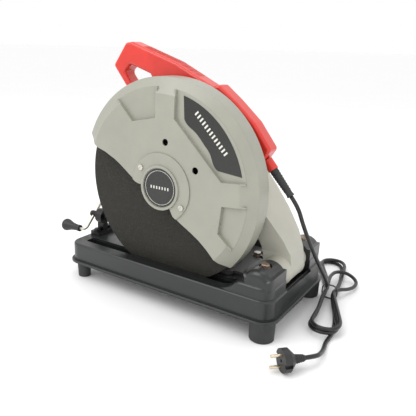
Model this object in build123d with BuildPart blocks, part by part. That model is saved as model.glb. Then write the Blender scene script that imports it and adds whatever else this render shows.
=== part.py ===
# Abrasive chop saw: a pressed tray base with a screw vise and an angle fence, and a tilting head
# that carries the motor, the reduction gears, the guard, the handle and a 355 mm cutting wheel.
# Units are millimetres. X runs from the vise crank (front) to the tilt pivot (rear), Y from the
# wheel side to the motor side, Z up. The origin is on the floor, in the middle of the saw's box.
from build123d import *
import math
import os

os.makedirs("parts", exist_ok=True)

# ---------------------------------------------------------------- driving dimensions
wheel_diameter = 355.0
wheel_thickness = 3.2
wheel_bore = 25.4
foot_height = 35.0
tray_height = 40.0
wheel_dip = 27.5                 # how far the wheel reaches below the tray top
axis_above_tray = wheel_diameter / 2 - wheel_dip  # spindle axis above the tray top with the head down
base_length = 460.0
base_width = 250.0
lip_width = 5.5                  # how far the bottom lip stands out from the tray walls
lip_thickness = 5.0
tray_corner = 25.0
tray_wall = 4.0
wheel_ahead = 1.5                # spindle axis ahead of the middle of the base
wheel_inset = 41.2               # wheel plane in from the near edge of the lip
knob_reach = 66.0                # crank knob tip in front of the lip

slot_front = -198.0              # wheel slot, from the spindle axis
slot_rear = 143.0
slot_near = -12.0
slot_far = 11.0

pivot_back = 194.0               # tilt axis behind and below the spindle axis
pivot_drop = 132.0
shaft_diameter = 16.0
hump_radius = 27.5
hump_inner = 53.0                # hump faces, from the middle of the base
hump_outer = 112.0
shoulder_height = 21.0
ledge = 3.5                      # the raised corners stand this far in from the tray walls

guard_clearance = 9.5
guard_slope = 27.0
guard_radius = wheel_diameter / 2 + guard_clearance
guard_face_radius = guard_radius - guard_slope
guard_front = 25.0               # guard face in front of the wheel plane
guard_bevel = 8.0                # where the bevel meets the rim
guard_back = 25.0
guard_wall = 2.5
guard_ahead = 5.0                # guard centre ahead of the spindle axis
guard_rise = 0.8                 # and above it
panel_depth = 6.6
hub_cover_radius = 61.5
hub_ring_radius = 40.0

motor_back = 8.0                 # motor axis from the spindle axis
motor_up = 49.0
motor_radius = 50.0
motor_wall = 5.0
case_front = guard_back          # gear case, along Y from the wheel plane
case_joint = 58.0
cover_back = 68.0
motor_back_end = 188.0
cap_end = 205.0

gear_teeth = 48
pinion_teeth = 12

arm_near = 36.0                  # arm casting, along Y from the wheel plane
arm_far = 126.0
hub_near = 32.0
hub_far = 135.5
arm_wall = 8.0
arm_hub_radius = 27.0

handle_near = 40.0               # handle shells, along Y from the wheel plane
handle_split = 56.0
handle_far = 72.0
shell_wall = 3.0
grip_round = 5.5

screw_y = 47.0                   # vise screw axis from the wheel plane
screw_height = 37.0              # vise screw axis above the tray top
screw_diameter = 12.0
screw_front = -238.0             # front end of the vise screw, from the spindle axis
crank_radius = 41.0
crank_rod = 6.5
fence_front = 84.0               # fence face, from the spindle axis
fence_near = 22.0
fence_far = 190.0
fence_height = 45.0

cord_diameter = 7.0

running = 0.05                   # radial clearance of a shaft that turns in its hole
slack = 0.15                     # radial clearance of a screw in its hole
gap = 0.4                        # gap between faces that slide or turn past each other

# ---------------------------------------------------------------- places that follow
base_x = knob_reach / 2
tray_top = foot_height + tray_height
wheel_x = base_x - wheel_ahead
wheel_y = -base_width / 2 + wheel_inset
wheel_z = tray_top + axis_above_tray
mid_y = -wheel_y                 # the middle of the base, seen from the wheel plane
body_length = base_length - 2 * lip_width
body_width = base_width - 2 * lip_width
gear_distance = math.hypot(motor_back, motor_up)
gear_pitch = gear_distance * gear_teeth / (gear_teeth + pinion_teeth)
pinion_pitch = gear_distance - gear_pitch


def side(y):
    """Upright plane y from the wheel plane: sketch X runs back and sketch Y up, from the spindle
    axis, and an extrusion grows towards the wheel side."""
    return Plane((wheel_x, wheel_y + y, wheel_z), x_dir=(1, 0, 0), z_dir=(0, -1, 0))


def plan(z):
    """Level plane z above the floor, measured from the middle of the base."""
    return Plane((base_x, 0, z))


def front(x):
    """Upright cross plane x from the spindle axis: sketch X runs to the motor side."""
    return Plane((wheel_x + x, wheel_y, wheel_z), x_dir=(0, 1, 0), z_dir=(1, 0, 0))


def along(x, z):
    """Plane through a line parallel to the spindle, for profiles of (y, radius)."""
    return Plane((wheel_x + x, wheel_y, wheel_z + z), x_dir=(0, 1, 0), z_dir=(1, 0, 0))


def line_y(x, z):
    """Axis parallel to the spindle through (x, z), from the spindle axis."""
    return Axis((wheel_x + x, wheel_y, wheel_z + z), (0, 1, 0))


def keep(piece, name):
    """Label a finished piece and write its file."""
    piece.part.label = name
    export_step(piece.part, f"parts/{name}.step")


def rod(x, z, y_from, y_to, radius, bore=0.0):
    """Round bar or ring parallel to the spindle."""
    with BuildPart() as bar:
        with BuildSketch(side(y_to)):
            with Locations((x, z)):
                Circle(radius)
                if bore:
                    Circle(bore, mode=Mode.SUBTRACT)
        extrude(amount=y_to - y_from)
    return bar.part


def upright(x, y, z_from, z_to, radius):
    """Round upright bar at (x, y) from the middle of the base."""
    with BuildPart() as bar:
        with BuildSketch(plan(z_from)):
            with Locations((x, y)):
                Circle(radius)
        extrude(amount=z_to - z_from)
    return bar.part


def hex_bolt(x, y, seat, across, head, shank, length):
    """Upright hexagon bolt at (x, y) from the middle of the base, its head above seat."""
    with BuildPart() as bolt:
        with BuildSketch(plan(seat)):
            with Locations((x, y)):
                RegularPolygon(across / 2, 6, major_radius=False)
        extrude(amount=head)
        chamfer(bolt.faces().sort_by(Axis.Z)[-1].edges(), across * 0.06)
        with BuildSketch(plan(seat)):
            with Locations((x, y)):
                Circle(shank / 2)
        extrude(amount=-length)
    return bolt.part


# ---------------------------------------------------------------- base tray
foot_x_front = -201.5
foot_x_rear = 205.0
foot_y = 101.0
foot_screw = 6.0
foot_bore = 8.0
pivot_x = pivot_back - wheel_ahead
pivot_z = wheel_z - pivot_drop
bolt_seat = pivot_z + hump_radius - 5.0
hump_mid = (hump_inner + hump_outer) / 2 - 4
shoulder_foot = 125.0 - wheel_ahead
rear_dip = 5.0
bracket_x = -207.0
bracket_bolt_y = (wheel_y + screw_y - 17, wheel_y + screw_y + 17)
fence_pivot = (108.0, 46.0)          # pivot bolt, from the spindle axis
fence_lock = (124.0, 121.0)          # lock bolt, in the fence's curved slot
fence_swing = (0.0, 15.0)            # from square to the tray, the far end coming forward
fence_bolts_at = [(x - wheel_ahead, wheel_y + y) for x, y in (fence_pivot, fence_lock)]
bolt_size = 8.0                      # M8 throughout the base

slot_middle = ((slot_front + slot_rear) / 2 - wheel_ahead, wheel_y + (slot_near + slot_far) / 2)
arm_window_length = 2 * arm_hub_radius + 8
arm_window_middle = pivot_x - 2

with BuildPart() as shoulders:
    with BuildSketch(plan(tray_top - tray_wall)):
        RectangleRounded(body_length - 2 * ledge, body_width - 2 * ledge, tray_corner - ledge)
    extrude(amount=shoulder_height + tray_wall)
    with BuildSketch(Plane((base_x, base_width / 2, tray_top), x_dir=(1, 0, 0), z_dir=(0, -1, 0))):
        with BuildLine():
            Polyline((shoulder_foot, -tray_wall), (shoulder_foot, 0))
            Spline(
                (shoulder_foot, 0),
                (shoulder_foot + 24, shoulder_height * 0.42),
                (shoulder_foot + 45, shoulder_height),
                tangents=[(1, 0.12), (1, 0)],
            )
            Polyline(
                (shoulder_foot + 45, shoulder_height),
                (base_length, shoulder_height),
                (base_length, -tray_wall),
                (shoulder_foot, -tray_wall),
            )
        make_face()
    extrude(amount=base_width, mode=Mode.INTERSECT)
    with BuildSketch(plan(tray_top - tray_wall)):
        Rectangle(base_length, 2 * hump_inner)
    extrude(amount=2 * shoulder_height, mode=Mode.SUBTRACT)
    crown = shoulders.edges().filter_by(Axis.Z, reverse=True).filter_by(
        lambda e: e.center().Z > tray_top + 2 and abs(e.center().Y) > hump_inner + 12
    )
    fillet(crown.filter_by(lambda e: abs(e.center().Y) > hump_outer or e.center().X > pivot_x + base_x), 7)

with BuildPart() as humps:
    for turn in (1, -1):
        with BuildSketch(Plane((base_x, turn * hump_inner, pivot_z), x_dir=(turn, 0, 0), z_dir=(0, turn, 0))):
            with Locations((turn * pivot_x, 0)):
                Circle(hump_radius)
            with Locations((turn * pivot_x, -(pivot_z - tray_top) / 2)):
                Rectangle(2 * hump_radius, pivot_z - tray_top)
        extrude(amount=hump_outer - hump_inner)
    ends = humps.edges().filter_by(lambda e: abs(abs(e.center().Y) - hump_outer) < 1)
    fillet(ends.filter_by(lambda e: e.center().Z > pivot_z + 1), 12)

with BuildPart() as base:
    with BuildSketch(plan(foot_height)):
        RectangleRounded(base_length, base_width, tray_corner + lip_width)
    extrude(amount=lip_thickness)
    fillet(base.edges().group_by(Axis.Z)[-1], 2)
    with BuildSketch(plan(foot_height)):
        RectangleRounded(body_length, body_width, tray_corner)
    extrude(amount=tray_height)
    fillet(base.edges().group_by(Axis.Z)[-1], 4)
    add(shoulders.part)
    add(humps.part)
    with BuildSketch(plan(foot_height)):
        RectangleRounded(body_length - 2 * tray_wall, body_width - 2 * tray_wall, tray_corner - tray_wall)
    extrude(amount=tray_height - tray_wall, mode=Mode.SUBTRACT)
    with BuildSketch(plan(foot_height)):
        with Locations((foot_x_front, foot_y), (foot_x_front, -foot_y)):
            Circle(13)
        with Locations((foot_x_rear, foot_y), (foot_x_rear, -foot_y)):
            Circle(16)
    extrude(amount=tray_height - tray_wall / 2)
    with BuildSketch(plan(foot_height)):
        with Locations(
            (foot_x_front, foot_y), (foot_x_front, -foot_y), (foot_x_rear, foot_y), (foot_x_rear, -foot_y)
        ):
            Circle(foot_screw / 2 + slack)
    extrude(amount=28, mode=Mode.SUBTRACT)
    with BuildSketch(plan(tray_top - rear_dip)):
        with Locations((body_length / 2 - 8, 0)):
            Rectangle(16, 2 * hump_inner)
    extrude(amount=20, mode=Mode.SUBTRACT)
    with BuildSketch(plan(tray_top - 2 * tray_wall)):
        with Locations((arm_window_middle, 0)):
            Rectangle(arm_window_length, 2 * hump_inner)
    extrude(amount=40, mode=Mode.SUBTRACT)
    with BuildSketch(plan(foot_height)):
        with Locations(slot_middle):
            RectangleRounded(slot_rear - slot_front, slot_far - slot_near, 6)
    extrude(amount=tray_height + shoulder_height, mode=Mode.SUBTRACT)
    with BuildSketch(Plane((base_x + pivot_x, hump_outer - 5, pivot_z), x_dir=(1, 0, 0), z_dir=(0, -1, 0))):
        Circle(shaft_diameter / 2 + running)
    extrude(amount=2 * (hump_outer - 5), mode=Mode.SUBTRACT)
    with BuildSketch(plan(bolt_seat)):
        with Locations((pivot_x, hump_mid), (pivot_x, -hump_mid)):
            Circle(11)
    extrude(amount=10, mode=Mode.SUBTRACT)
    with BuildSketch(plan(pivot_z)):
        with Locations((pivot_x, hump_mid), (pivot_x, -hump_mid)):
            Circle(bolt_size / 2 + slack)
    extrude(amount=hump_radius + 5, mode=Mode.SUBTRACT)
    with BuildSketch(plan(foot_height)):
        with Locations(*[(bracket_x, y) for y in bracket_bolt_y], *fence_bolts_at):
            Circle(bolt_size / 2 + slack)
    extrude(amount=tray_height + 5, mode=Mode.SUBTRACT)
keep(base, "base")


# ---------------------------------------------------------------- feet
def foot(x, y, top_radius, sole_radius):
    """Tapered rubber foot with a recessed screw hole."""
    with BuildPart() as stub:
        with BuildSketch(plan(0)):
            with Locations((x, y)):
                Circle(sole_radius)
        with BuildSketch(plan(foot_height)):
            with Locations((x, y)):
                Circle(top_radius)
        loft()
        fillet(stub.edges().group_by(Axis.Z)[0], 2)
        with BuildSketch(plan(0)):
            with Locations((x, y)):
                Circle(foot_bore)
        extrude(amount=10, mode=Mode.SUBTRACT)
        with BuildSketch(plan(0)):
            with Locations((x, y)):
                Circle(foot_screw / 2 + slack)
        extrude(amount=foot_height, mode=Mode.SUBTRACT)
    return stub.part


with BuildPart() as front_feet:
    for y in (foot_y, -foot_y):
        add(foot(foot_x_front, y, 14, 12.5))
keep(front_feet, "front_feet")

with BuildPart() as rear_feet:
    for y in (foot_y, -foot_y):
        add(foot(foot_x_rear, y, 22, 21))
keep(rear_feet, "rear_feet")

with BuildPart() as foot_screws:
    for x in (foot_x_front, foot_x_rear):
        for y in (foot_y, -foot_y):
            add(upright(x, y, 6, 10, 6))
            add(upright(x, y, 10, foot_height + 26, foot_screw / 2))
keep(foot_screws, "foot_screws")

# ---------------------------------------------------------------- tilt pivot
with BuildPart() as pivot_shaft:
    add(rod(pivot_back, -pivot_drop, mid_y - hump_outer + 6, mid_y + hump_outer - 6, shaft_diameter / 2))
keep(pivot_shaft, "pivot_shaft")

washer_thickness = 1.8
washer_radius = 9.0
fence_foot = 6.0
fence_seat = tray_top + fence_foot
with BuildPart() as washers:
    for seat, places in (
        (bolt_seat, [(pivot_x, hump_mid), (pivot_x, -hump_mid)]),
        (fence_seat, fence_bolts_at),
    ):
        with BuildSketch(plan(seat)):
            with Locations(*places):
                Circle(washer_radius)
                Circle(bolt_size / 2 + slack, mode=Mode.SUBTRACT)
        extrude(amount=washer_thickness)
keep(washers, "washers")

shaft_top = pivot_z + shaft_diameter / 2
with BuildPart() as pivot_bolts:
    for y in (hump_mid, -hump_mid):
        seat = bolt_seat + washer_thickness
        add(hex_bolt(pivot_x, y, seat, 13, 5.5, bolt_size, seat - shaft_top - slack))
keep(pivot_bolts, "pivot_bolts")

spring_near = mid_y - 20
spring_far = mid_y + 20
spring_wire = 3.0
with BuildPart() as return_spring:
    coil = shaft_diameter / 2 + 1
    for turn in range(10):
        start = spring_near + turn * 4
        add(rod(pivot_back, -pivot_drop, start, start + spring_wire, coil + spring_wire, coil))
    add(rod(pivot_back, -pivot_drop, spring_near, spring_far - 1, coil + 1.2, coil))
keep(return_spring, "return_spring")

# ---------------------------------------------------------------- fence
fence_foot_depth = 38.0
fence_tongue = (34.0, 131.0)
fence_tongue_depth = 68.0
fence_tongue_round = 14.0
fence_heel = 8.0                     # near corner cut off, to clear the shoulder when it swings
fence_thickness = 8.0
fence_ribs = (82.0, 168.0)
slot_width = bolt_size + 0.6
lock_radius = math.hypot(fence_lock[0] - fence_pivot[0], fence_lock[1] - fence_pivot[1])
lock_angle = math.degrees(math.atan2(fence_lock[1] - fence_pivot[1], fence_lock[0] - fence_pivot[0]))
with BuildPart() as fence:
    with BuildSketch(side(fence_far)):
        with Locations((fence_front + fence_foot_depth / 2, -axis_above_tray + fence_foot / 2)):
            Rectangle(fence_foot_depth, fence_foot)
        with Locations((fence_front + fence_thickness / 2, -axis_above_tray + fence_height / 2)):
            Rectangle(fence_thickness, fence_height)
    extrude(amount=fence_far - fence_near)
    with BuildSketch(side(fence_tongue[1])):
        with Locations((fence_front + fence_tongue_depth / 2, -axis_above_tray + fence_foot / 2)):
            Rectangle(fence_tongue_depth, fence_foot)
    extrude(amount=fence_tongue[1] - fence_tongue[0])
    fillet(fence.edges().filter_by(Axis.Z).sort_by(Axis.X)[-2:], fence_tongue_round)
    heel = Vector(wheel_x + fence_front + fence_foot_depth, wheel_y + fence_near, tray_top + fence_foot / 2)
    chamfer(fence.edges().filter_by(Axis.Z).sort_by_distance(heel)[0], fence_heel)
    fillet(fence.edges().filter_by(Axis.Y).group_by(Axis.Z)[-1], 2)
    for y in fence_ribs:
        with BuildSketch(side(y + 3)):
            with BuildLine():
                low = -axis_above_tray + fence_foot - 0.5
                back = fence_front + fence_thickness - 0.5
                Polyline((back, low), (back + 24, low), (back, low + 30), close=True)
            make_face()
        extrude(amount=6)
    with BuildSketch(plan(tray_top)):
        with Locations(fence_bolts_at[0]):
            Circle(bolt_size / 2 + running)
        with BuildLine() as swing:
            sweep_angle = fence_swing[1] - fence_swing[0] + 2
            CenterArc(fence_bolts_at[0], lock_radius, lock_angle - fence_swing[1] - 1, sweep_angle)
        SlotArc(swing.line.wires()[0], slot_width)
    extrude(amount=fence_foot, mode=Mode.SUBTRACT)
keep(fence, "fence")

with BuildPart() as fence_bolts:
    for x, y in fence_bolts_at:
        add(hex_bolt(x, y, fence_seat + washer_thickness, 13, 5.5, bolt_size, 28))
keep(fence_bolts, "fence_bolts")

bracket_foot = 8.0


def under_nut(x, y):
    """Hexagon nut against the underside of the tray top."""
    with BuildPart() as nut:
        with BuildSketch(plan(tray_top - tray_wall)):
            with Locations((x, y)):
                RegularPolygon(6.5, 6, major_radius=False)
                Circle(bolt_size / 2 + slack, mode=Mode.SUBTRACT)
        extrude(amount=-6.5)
    return nut.part


with BuildPart() as plate_nuts:
    for x, y in (*fence_bolts_at, *[(bracket_x, y) for y in bracket_bolt_y]):
        add(under_nut(x, y))
keep(plate_nuts, "plate_nuts")

# ---------------------------------------------------------------- vise
screw_z = -axis_above_tray + screw_height
bracket_near = -214.0
bracket_far = bracket_near + 16.0
with BuildPart() as vise_bracket:
    with BuildSketch(plan(tray_top)):
        with Locations((bracket_x, wheel_y + screw_y)):
            RectangleRounded(26, 52, 4)
    extrude(amount=bracket_foot)
    with BuildSketch(front(bracket_near)):
        with Locations((screw_y, screw_z)):
            Circle(15)
        with Locations((screw_y, screw_z - screw_height / 2 + 2)):
            Rectangle(14, screw_height - 4)
    extrude(amount=bracket_far - bracket_near)
    with BuildSketch(front(bracket_near)):
        with Locations((screw_y, screw_z)):
            Circle(10 + slack)
    extrude(amount=bracket_far - bracket_near, mode=Mode.SUBTRACT)
    with BuildSketch(plan(tray_top)):
        with Locations(*[(bracket_x, y) for y in bracket_bolt_y]):
            Circle(bolt_size / 2 + slack)
    extrude(amount=bracket_foot, mode=Mode.SUBTRACT)
keep(vise_bracket, "vise_bracket")

with BuildPart() as vise_nut:
    with BuildSketch(front(bracket_near - 2)):
        with Locations((screw_y, screw_z)):
            Circle(13)
            Circle(screw_diameter / 2 + running, mode=Mode.SUBTRACT)
    extrude(amount=2)
    with BuildSketch(front(bracket_near)):
        with Locations((screw_y, screw_z)):
            Circle(10)
            Circle(screw_diameter / 2 + running, mode=Mode.SUBTRACT)
    extrude(amount=bracket_far - bracket_near)
keep(vise_nut, "vise_nut")

with BuildPart() as bracket_bolts:
    for y in bracket_bolt_y:
        add(hex_bolt(bracket_x, y, tray_top + bracket_foot, 13, 5.5, bolt_size, 24))
keep(bracket_bolts, "bracket_bolts")

jaw_back = fence_front - 24.0
jaw_thickness = 12.0
saddle_back = jaw_back - jaw_thickness - 12.0
saddle_front = saddle_back - 26.0
jaw_width = 70.0
jaw_height = 52.0
groove_depth = 0.8
pin_x = (saddle_front + saddle_back) / 2 + 10
crank_x = screw_front + 9.0
neck_radius = 4.0
with BuildPart() as lead_screw:
    with BuildSketch(front(screw_front)):
        with Locations((screw_y, screw_z)):
            Circle(screw_diameter / 2)
    extrude(amount=saddle_front + 6 - screw_front)
    chamfer(lead_screw.edges().group_by(Axis.X)[0], 1)
    with BuildSketch(front(saddle_front)):
        with Locations((screw_y, screw_z)):
            Circle(screw_diameter / 2)
            Circle(neck_radius, mode=Mode.SUBTRACT)
    extrude(amount=4, mode=Mode.SUBTRACT)
    with BuildSketch(Plane((wheel_x + crank_x, wheel_y + screw_y, wheel_z + screw_z),
                           x_dir=(1, 0, 0), z_dir=(0, 1, 1))):
        Circle(crank_rod / 2 + slack)
    extrude(amount=20, both=True, mode=Mode.SUBTRACT)
keep(lead_screw, "lead_screw")

# the crank is a bar through the screw's head, bent forward into the knob's spigot
lean = math.sqrt(0.5)
knob_y = screw_y - crank_radius * lean
knob_z = screw_z - crank_radius * lean
upper_y = screw_y + 30 * lean
upper_z = screw_z + 30 * lean
knob_tip = -base_length / 2 + base_x - knob_reach - wheel_x
ferrule_x = knob_tip + 50.0
bend = 11.0
crank_points = [
    (wheel_x + crank_x, wheel_y + upper_y, wheel_z + upper_z),
    (wheel_x + crank_x, wheel_y + knob_y, wheel_z + knob_z),
    (wheel_x + ferrule_x - 30, wheel_y + knob_y, wheel_z + knob_z),
]
with BuildPart() as crank:
    with BuildLine() as crank_line:
        FilletPolyline(*crank_points, radius=bend)
    with BuildSketch(Plane(crank_points[0], z_dir=crank_line.line % 0)):
        Circle(crank_rod / 2)
    sweep()
keep(crank, "crank")

knob_profile = [
    (ferrule_x, crank_rod / 2 + running),
    (ferrule_x, 7.0),
    (ferrule_x - 6, 7.0),
    (ferrule_x - 6, 6.2),
]
with BuildPart() as crank_knob:
    with BuildSketch(Plane((wheel_x, wheel_y + knob_y, wheel_z + knob_z), x_dir=(1, 0, 0), z_dir=(0, -1, 0))):
        with BuildLine():
            Polyline(*knob_profile)
            Spline(
                (ferrule_x - 6, 6.2),
                (ferrule_x - 30, 10.4),
                (knob_tip + 7, 12.4),
                (knob_tip, 4.0),
                tangents=[(-1, 0.1), (-0.25, -1)],
            )
            Polyline(
                (knob_tip, 4.0),
                (knob_tip, 0),
                (ferrule_x - 30 - 2, 0),
                (ferrule_x - 30 - 2, crank_rod / 2 + running),
                (ferrule_x, crank_rod / 2 + running),
            )
        make_face()
    revolve(axis=Axis((wheel_x, wheel_y + knob_y, wheel_z + knob_z), (1, 0, 0)))
keep(crank_knob, "crank_knob")

with BuildPart() as vise_saddle:
    with BuildSketch(front(saddle_front)):
        with Locations((screw_y, screw_z + 2 - screw_height / 2)):
            Rectangle(34, screw_height + 21)
    extrude(amount=saddle_back - saddle_front)
    with BuildSketch(Plane((0, 0, tray_top + gap - 10))):
        Rectangle(900, 900)
    extrude(amount=10, mode=Mode.SUBTRACT)
    with BuildSketch(front(saddle_front)):
        with Locations((screw_y, screw_z)):
            Circle(neck_radius + running)
    extrude(amount=3, mode=Mode.SUBTRACT)
    with BuildSketch(front(saddle_front + 3)):
        with Locations((screw_y, screw_z)):
            Circle(screw_diameter / 2 + running)
    extrude(amount=4.5, mode=Mode.SUBTRACT)
    with BuildSketch(front(pin_x - 6)):
        with Locations((screw_y, screw_z)):
            Rectangle(60, 16)
    extrude(amount=60, mode=Mode.SUBTRACT)
    with BuildSketch(plan(tray_top)):
        with Locations((pin_x - wheel_ahead, wheel_y + screw_y)):
            Circle(4 + running)
    extrude(amount=80, mode=Mode.SUBTRACT)
keep(vise_saddle, "vise_saddle")

ear_height = 15.0
with BuildPart() as vise_jaw:
    with BuildSketch(front(jaw_back - jaw_thickness)):
        with Locations((screw_y, -axis_above_tray + 0.5 + jaw_height / 2)):
            Rectangle(jaw_width, jaw_height)
    extrude(amount=jaw_thickness)
    fillet(vise_jaw.edges().filter_by(Axis.X).group_by(Axis.Z)[-1], 6)
    for y in range(8):
        groove = screw_y - jaw_width / 2 + 8 + 8 * y
        with BuildSketch(front(jaw_back - groove_depth)):
            with Locations((groove, -axis_above_tray + jaw_height / 2)):
                Rectangle(1.6, jaw_height + 4)
        extrude(amount=groove_depth, mode=Mode.SUBTRACT)
    with BuildSketch(plan(wheel_z + screw_z - ear_height / 2)):
        with Locations((pin_x - wheel_ahead, wheel_y + screw_y)):
            Circle(5.7)
        with Locations(((pin_x + jaw_back) / 2 - 4 - wheel_ahead, wheel_y + screw_y)):
            Rectangle(jaw_back - pin_x - 8, 11.4)
    extrude(amount=ear_height)
    with BuildSketch(plan(wheel_z + screw_z - ear_height / 2)):
        with Locations((pin_x - wheel_ahead, wheel_y + screw_y)):
            Circle(4 + running)
    extrude(amount=ear_height, mode=Mode.SUBTRACT)
keep(vise_jaw, "vise_jaw")

saddle_top = wheel_z + screw_z + 2 - screw_height / 2 + (screw_height + 21) / 2
with BuildPart() as jaw_pin:
    add(upright(pin_x - wheel_ahead, wheel_y + screw_y, tray_top + 2, saddle_top, 4))
    add(upright(pin_x - wheel_ahead, wheel_y + screw_y, saddle_top, saddle_top + 2, 6))
keep(jaw_pin, "jaw_pin")

# ---------------------------------------------------------------- arm casting with the gear case
arm_outline = [
    (167, -132),
    (165, -108),
    (158, -78),
    (140, -52),
    (60, -52),
    (0, -48),
    (0, 60),
    (40, 100),
    (78, 78),
    (120, 36),
    (152, -2),
    (184, -45),
    (203, -72),
    (216, -100),
    (pivot_back + 27, -pivot_drop),
]
arm_pocket = [
    (174, -104),
    (166, -74),
    (146, -44),
    (66, -44),
    (66, 60),
    (112, 32),
    (145, -6),
    (176, -48),
    (194, -76),
    (203, -98),
]
front_pocket = [(66, -44), (66, 60), (112, 32), (115, -44)]
spring_room = 15.0
waist = (56.0, 112.0)            # sides of the arm where it meets the pivot
waist_from = 118.0
waist_top = -30.0
waist_knee = -100.0
waist_bottom = -pivot_drop - 2 * arm_hub_radius
hub_tube = 21.0                  # outside of the bearing tube on both sides of the waist
hub_gusset = 20.0
lug_width = (44.0, 68.0)
lug_top = 138.0
with BuildPart() as arm:
    with BuildSketch(side(case_joint)):
        Circle(52)
        with Locations((motor_back, motor_up)):
            Circle(motor_radius + 6)
    extrude(amount=case_joint - case_front)
    with BuildSketch(side(arm_far)):
        with BuildLine():
            Polyline(*arm_outline, close=True)
        make_face()
    extrude(amount=arm_far - arm_near)
    sides = arm.edges().filter_by(Axis.Y).filter_by(
        lambda e: e.center().X > wheel_x + 145 and e.center().Z > pivot_z + 10
    )
    fillet(sides, 9)
    with BuildSketch(front(waist_from)):
        with BuildLine():
            step_end = (arm_near - 1, waist_bottom)
            Polyline((arm_near - 1, waist_top), (waist[0], waist_knee), (waist[0], waist_bottom), step_end, close=True)
        make_face()
        with BuildLine():
            step_end = (arm_far + 1, waist_bottom)
            Polyline((arm_far + 1, waist_top), (waist[1], waist_knee), (waist[1], waist_bottom), step_end, close=True)
        make_face()
    extrude(amount=pivot_back + 2 * arm_hub_radius - waist_from, mode=Mode.SUBTRACT)
    with BuildSketch(side(hub_far)):
        with Locations((pivot_back, -pivot_drop)):
            Circle(hub_tube)
    extrude(amount=hub_far - hub_near)
    with BuildSketch(side(waist[1])):
        with Locations((pivot_back, -pivot_drop)):
            Circle(arm_hub_radius)
    extrude(amount=waist[1] - waist[0])
    with BuildSketch(side(waist[1] - arm_wall)):
        with BuildLine():
            Polyline(*arm_pocket, close=True)
        make_face()
    extrude(amount=waist[1] - waist[0] - 2 * arm_wall, mode=Mode.SUBTRACT)
    with BuildSketch(side(arm_far - arm_wall)):
        with BuildLine():
            Polyline(*front_pocket, close=True)
        make_face()
    extrude(amount=arm_far - arm_near - 2 * arm_wall, mode=Mode.SUBTRACT)
    with BuildSketch(along(pivot_back, -pivot_drop)):
        with BuildLine():
            cone_top = (waist[0], arm_hub_radius + 1)
            Polyline((waist[0] - hub_gusset, hub_tube), cone_top, (waist[0], hub_tube), close=True)
        make_face()
        with BuildLine():
            cone_top = (waist[1], arm_hub_radius + 1)
            Polyline((waist[1] + hub_gusset, hub_tube), cone_top, (waist[1], hub_tube), close=True)
        make_face()
    revolve(axis=line_y(pivot_back, -pivot_drop))
    with BuildSketch(side(arm_far + 1)):
        Circle(53)
        with Locations((motor_back, motor_up)):
            Circle(motor_radius + 7)
    extrude(amount=arm_far + 1 - case_joint, mode=Mode.SUBTRACT)
    with BuildSketch(side(case_joint)):
        Circle(44)
        with Locations((motor_back, motor_up)):
            Circle(16)
    extrude(amount=case_joint - 39, mode=Mode.SUBTRACT)
    with BuildSketch(side(39)):
        Circle(17.5)
    extrude(amount=11, mode=Mode.SUBTRACT)
    with BuildSketch(side(28)):
        Circle(10)
    extrude(amount=3, mode=Mode.SUBTRACT)
    with BuildSketch(side(hub_far)):
        with Locations((pivot_back, -pivot_drop)):
            Circle(shaft_diameter / 2 + running)
    extrude(amount=hub_far - hub_near, mode=Mode.SUBTRACT)
    with BuildSketch(side(spring_far + 1)):
        with Locations((pivot_back, -pivot_drop)):
            Circle(spring_room)
    extrude(amount=spring_far - spring_near + 2, mode=Mode.SUBTRACT)
    with BuildSketch(side(case_joint)):
        with BuildLine():
            Polyline((-36, 80), (-36, lug_top), (44, lug_top), (52, 80), close=True)
        make_face()
    extrude(amount=case_joint - lug_width[0])
    with BuildSketch(side(case_joint)):
        Circle(44)
        with Locations((motor_back, motor_up)):
            Circle(16)
    extrude(amount=case_joint - 39, mode=Mode.SUBTRACT)
keep(arm, "arm")

# ---------------------------------------------------------------- gear cover, motor housing, end cap
with BuildPart() as gear_cover:
    with BuildSketch(side(cover_back)):
        Circle(50)
        with Locations((motor_back, motor_up)):
            Circle(motor_radius + 4)
    extrude(amount=cover_back - case_joint)
    with BuildSketch(side(cover_back)):
        with Locations((motor_back, motor_up)):
            Circle(13)
    extrude(amount=8, mode=Mode.SUBTRACT)
    with BuildSketch(side(cover_back)):
        with Locations((motor_back, motor_up)):
            Circle(8)
    extrude(amount=cover_back - case_joint, mode=Mode.SUBTRACT)
    with BuildSketch(side(case_joint)):
        Circle(16)
    extrude(amount=-8, mode=Mode.SUBTRACT)
keep(gear_cover, "gear_cover")

brush_y = 164.0
with BuildPart() as motor_housing:
    with BuildSketch(side(motor_back_end)):
        with Locations((motor_back, motor_up)):
            Circle(motor_radius)
    extrude(amount=motor_back_end - cover_back)
    with BuildSketch(side(motor_back_end)):
        with Locations((motor_back, motor_up)):
            Circle(motor_radius - motor_wall)
    extrude(amount=motor_back_end - cover_back, mode=Mode.SUBTRACT)
    with BuildSketch(front(motor_back - motor_radius - 5)):
        with Locations((brush_y, motor_up)):
            Circle(8 + slack)
    extrude(amount=2 * motor_radius + 10, mode=Mode.SUBTRACT)
keep(motor_housing, "motor_housing")

vent_count = 16
with BuildPart() as end_cap:
    with BuildSketch(side(cap_end)):
        with Locations((motor_back, motor_up)):
            Circle(motor_radius)
    extrude(amount=cap_end - motor_back_end)
    fillet(end_cap.edges().group_by(Axis.Y)[-1], 5)
    with BuildSketch(side(cap_end - 4)):
        with Locations((motor_back, motor_up)):
            Circle(motor_radius - motor_wall)
            Circle(17, mode=Mode.SUBTRACT)
    extrude(amount=cap_end - 4 - motor_back_end, mode=Mode.SUBTRACT)
    with BuildSketch(side(motor_back_end + 9)):
        with Locations((motor_back, motor_up)):
            Circle(13)
    extrude(amount=9, mode=Mode.SUBTRACT)
    with BuildSketch(side(cap_end)):
        with Locations((motor_back, motor_up)):
            with PolarLocations(31, vent_count):
                SlotOverall(18, 4)
    extrude(amount=6, mode=Mode.SUBTRACT)
keep(end_cap, "end_cap")

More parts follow.
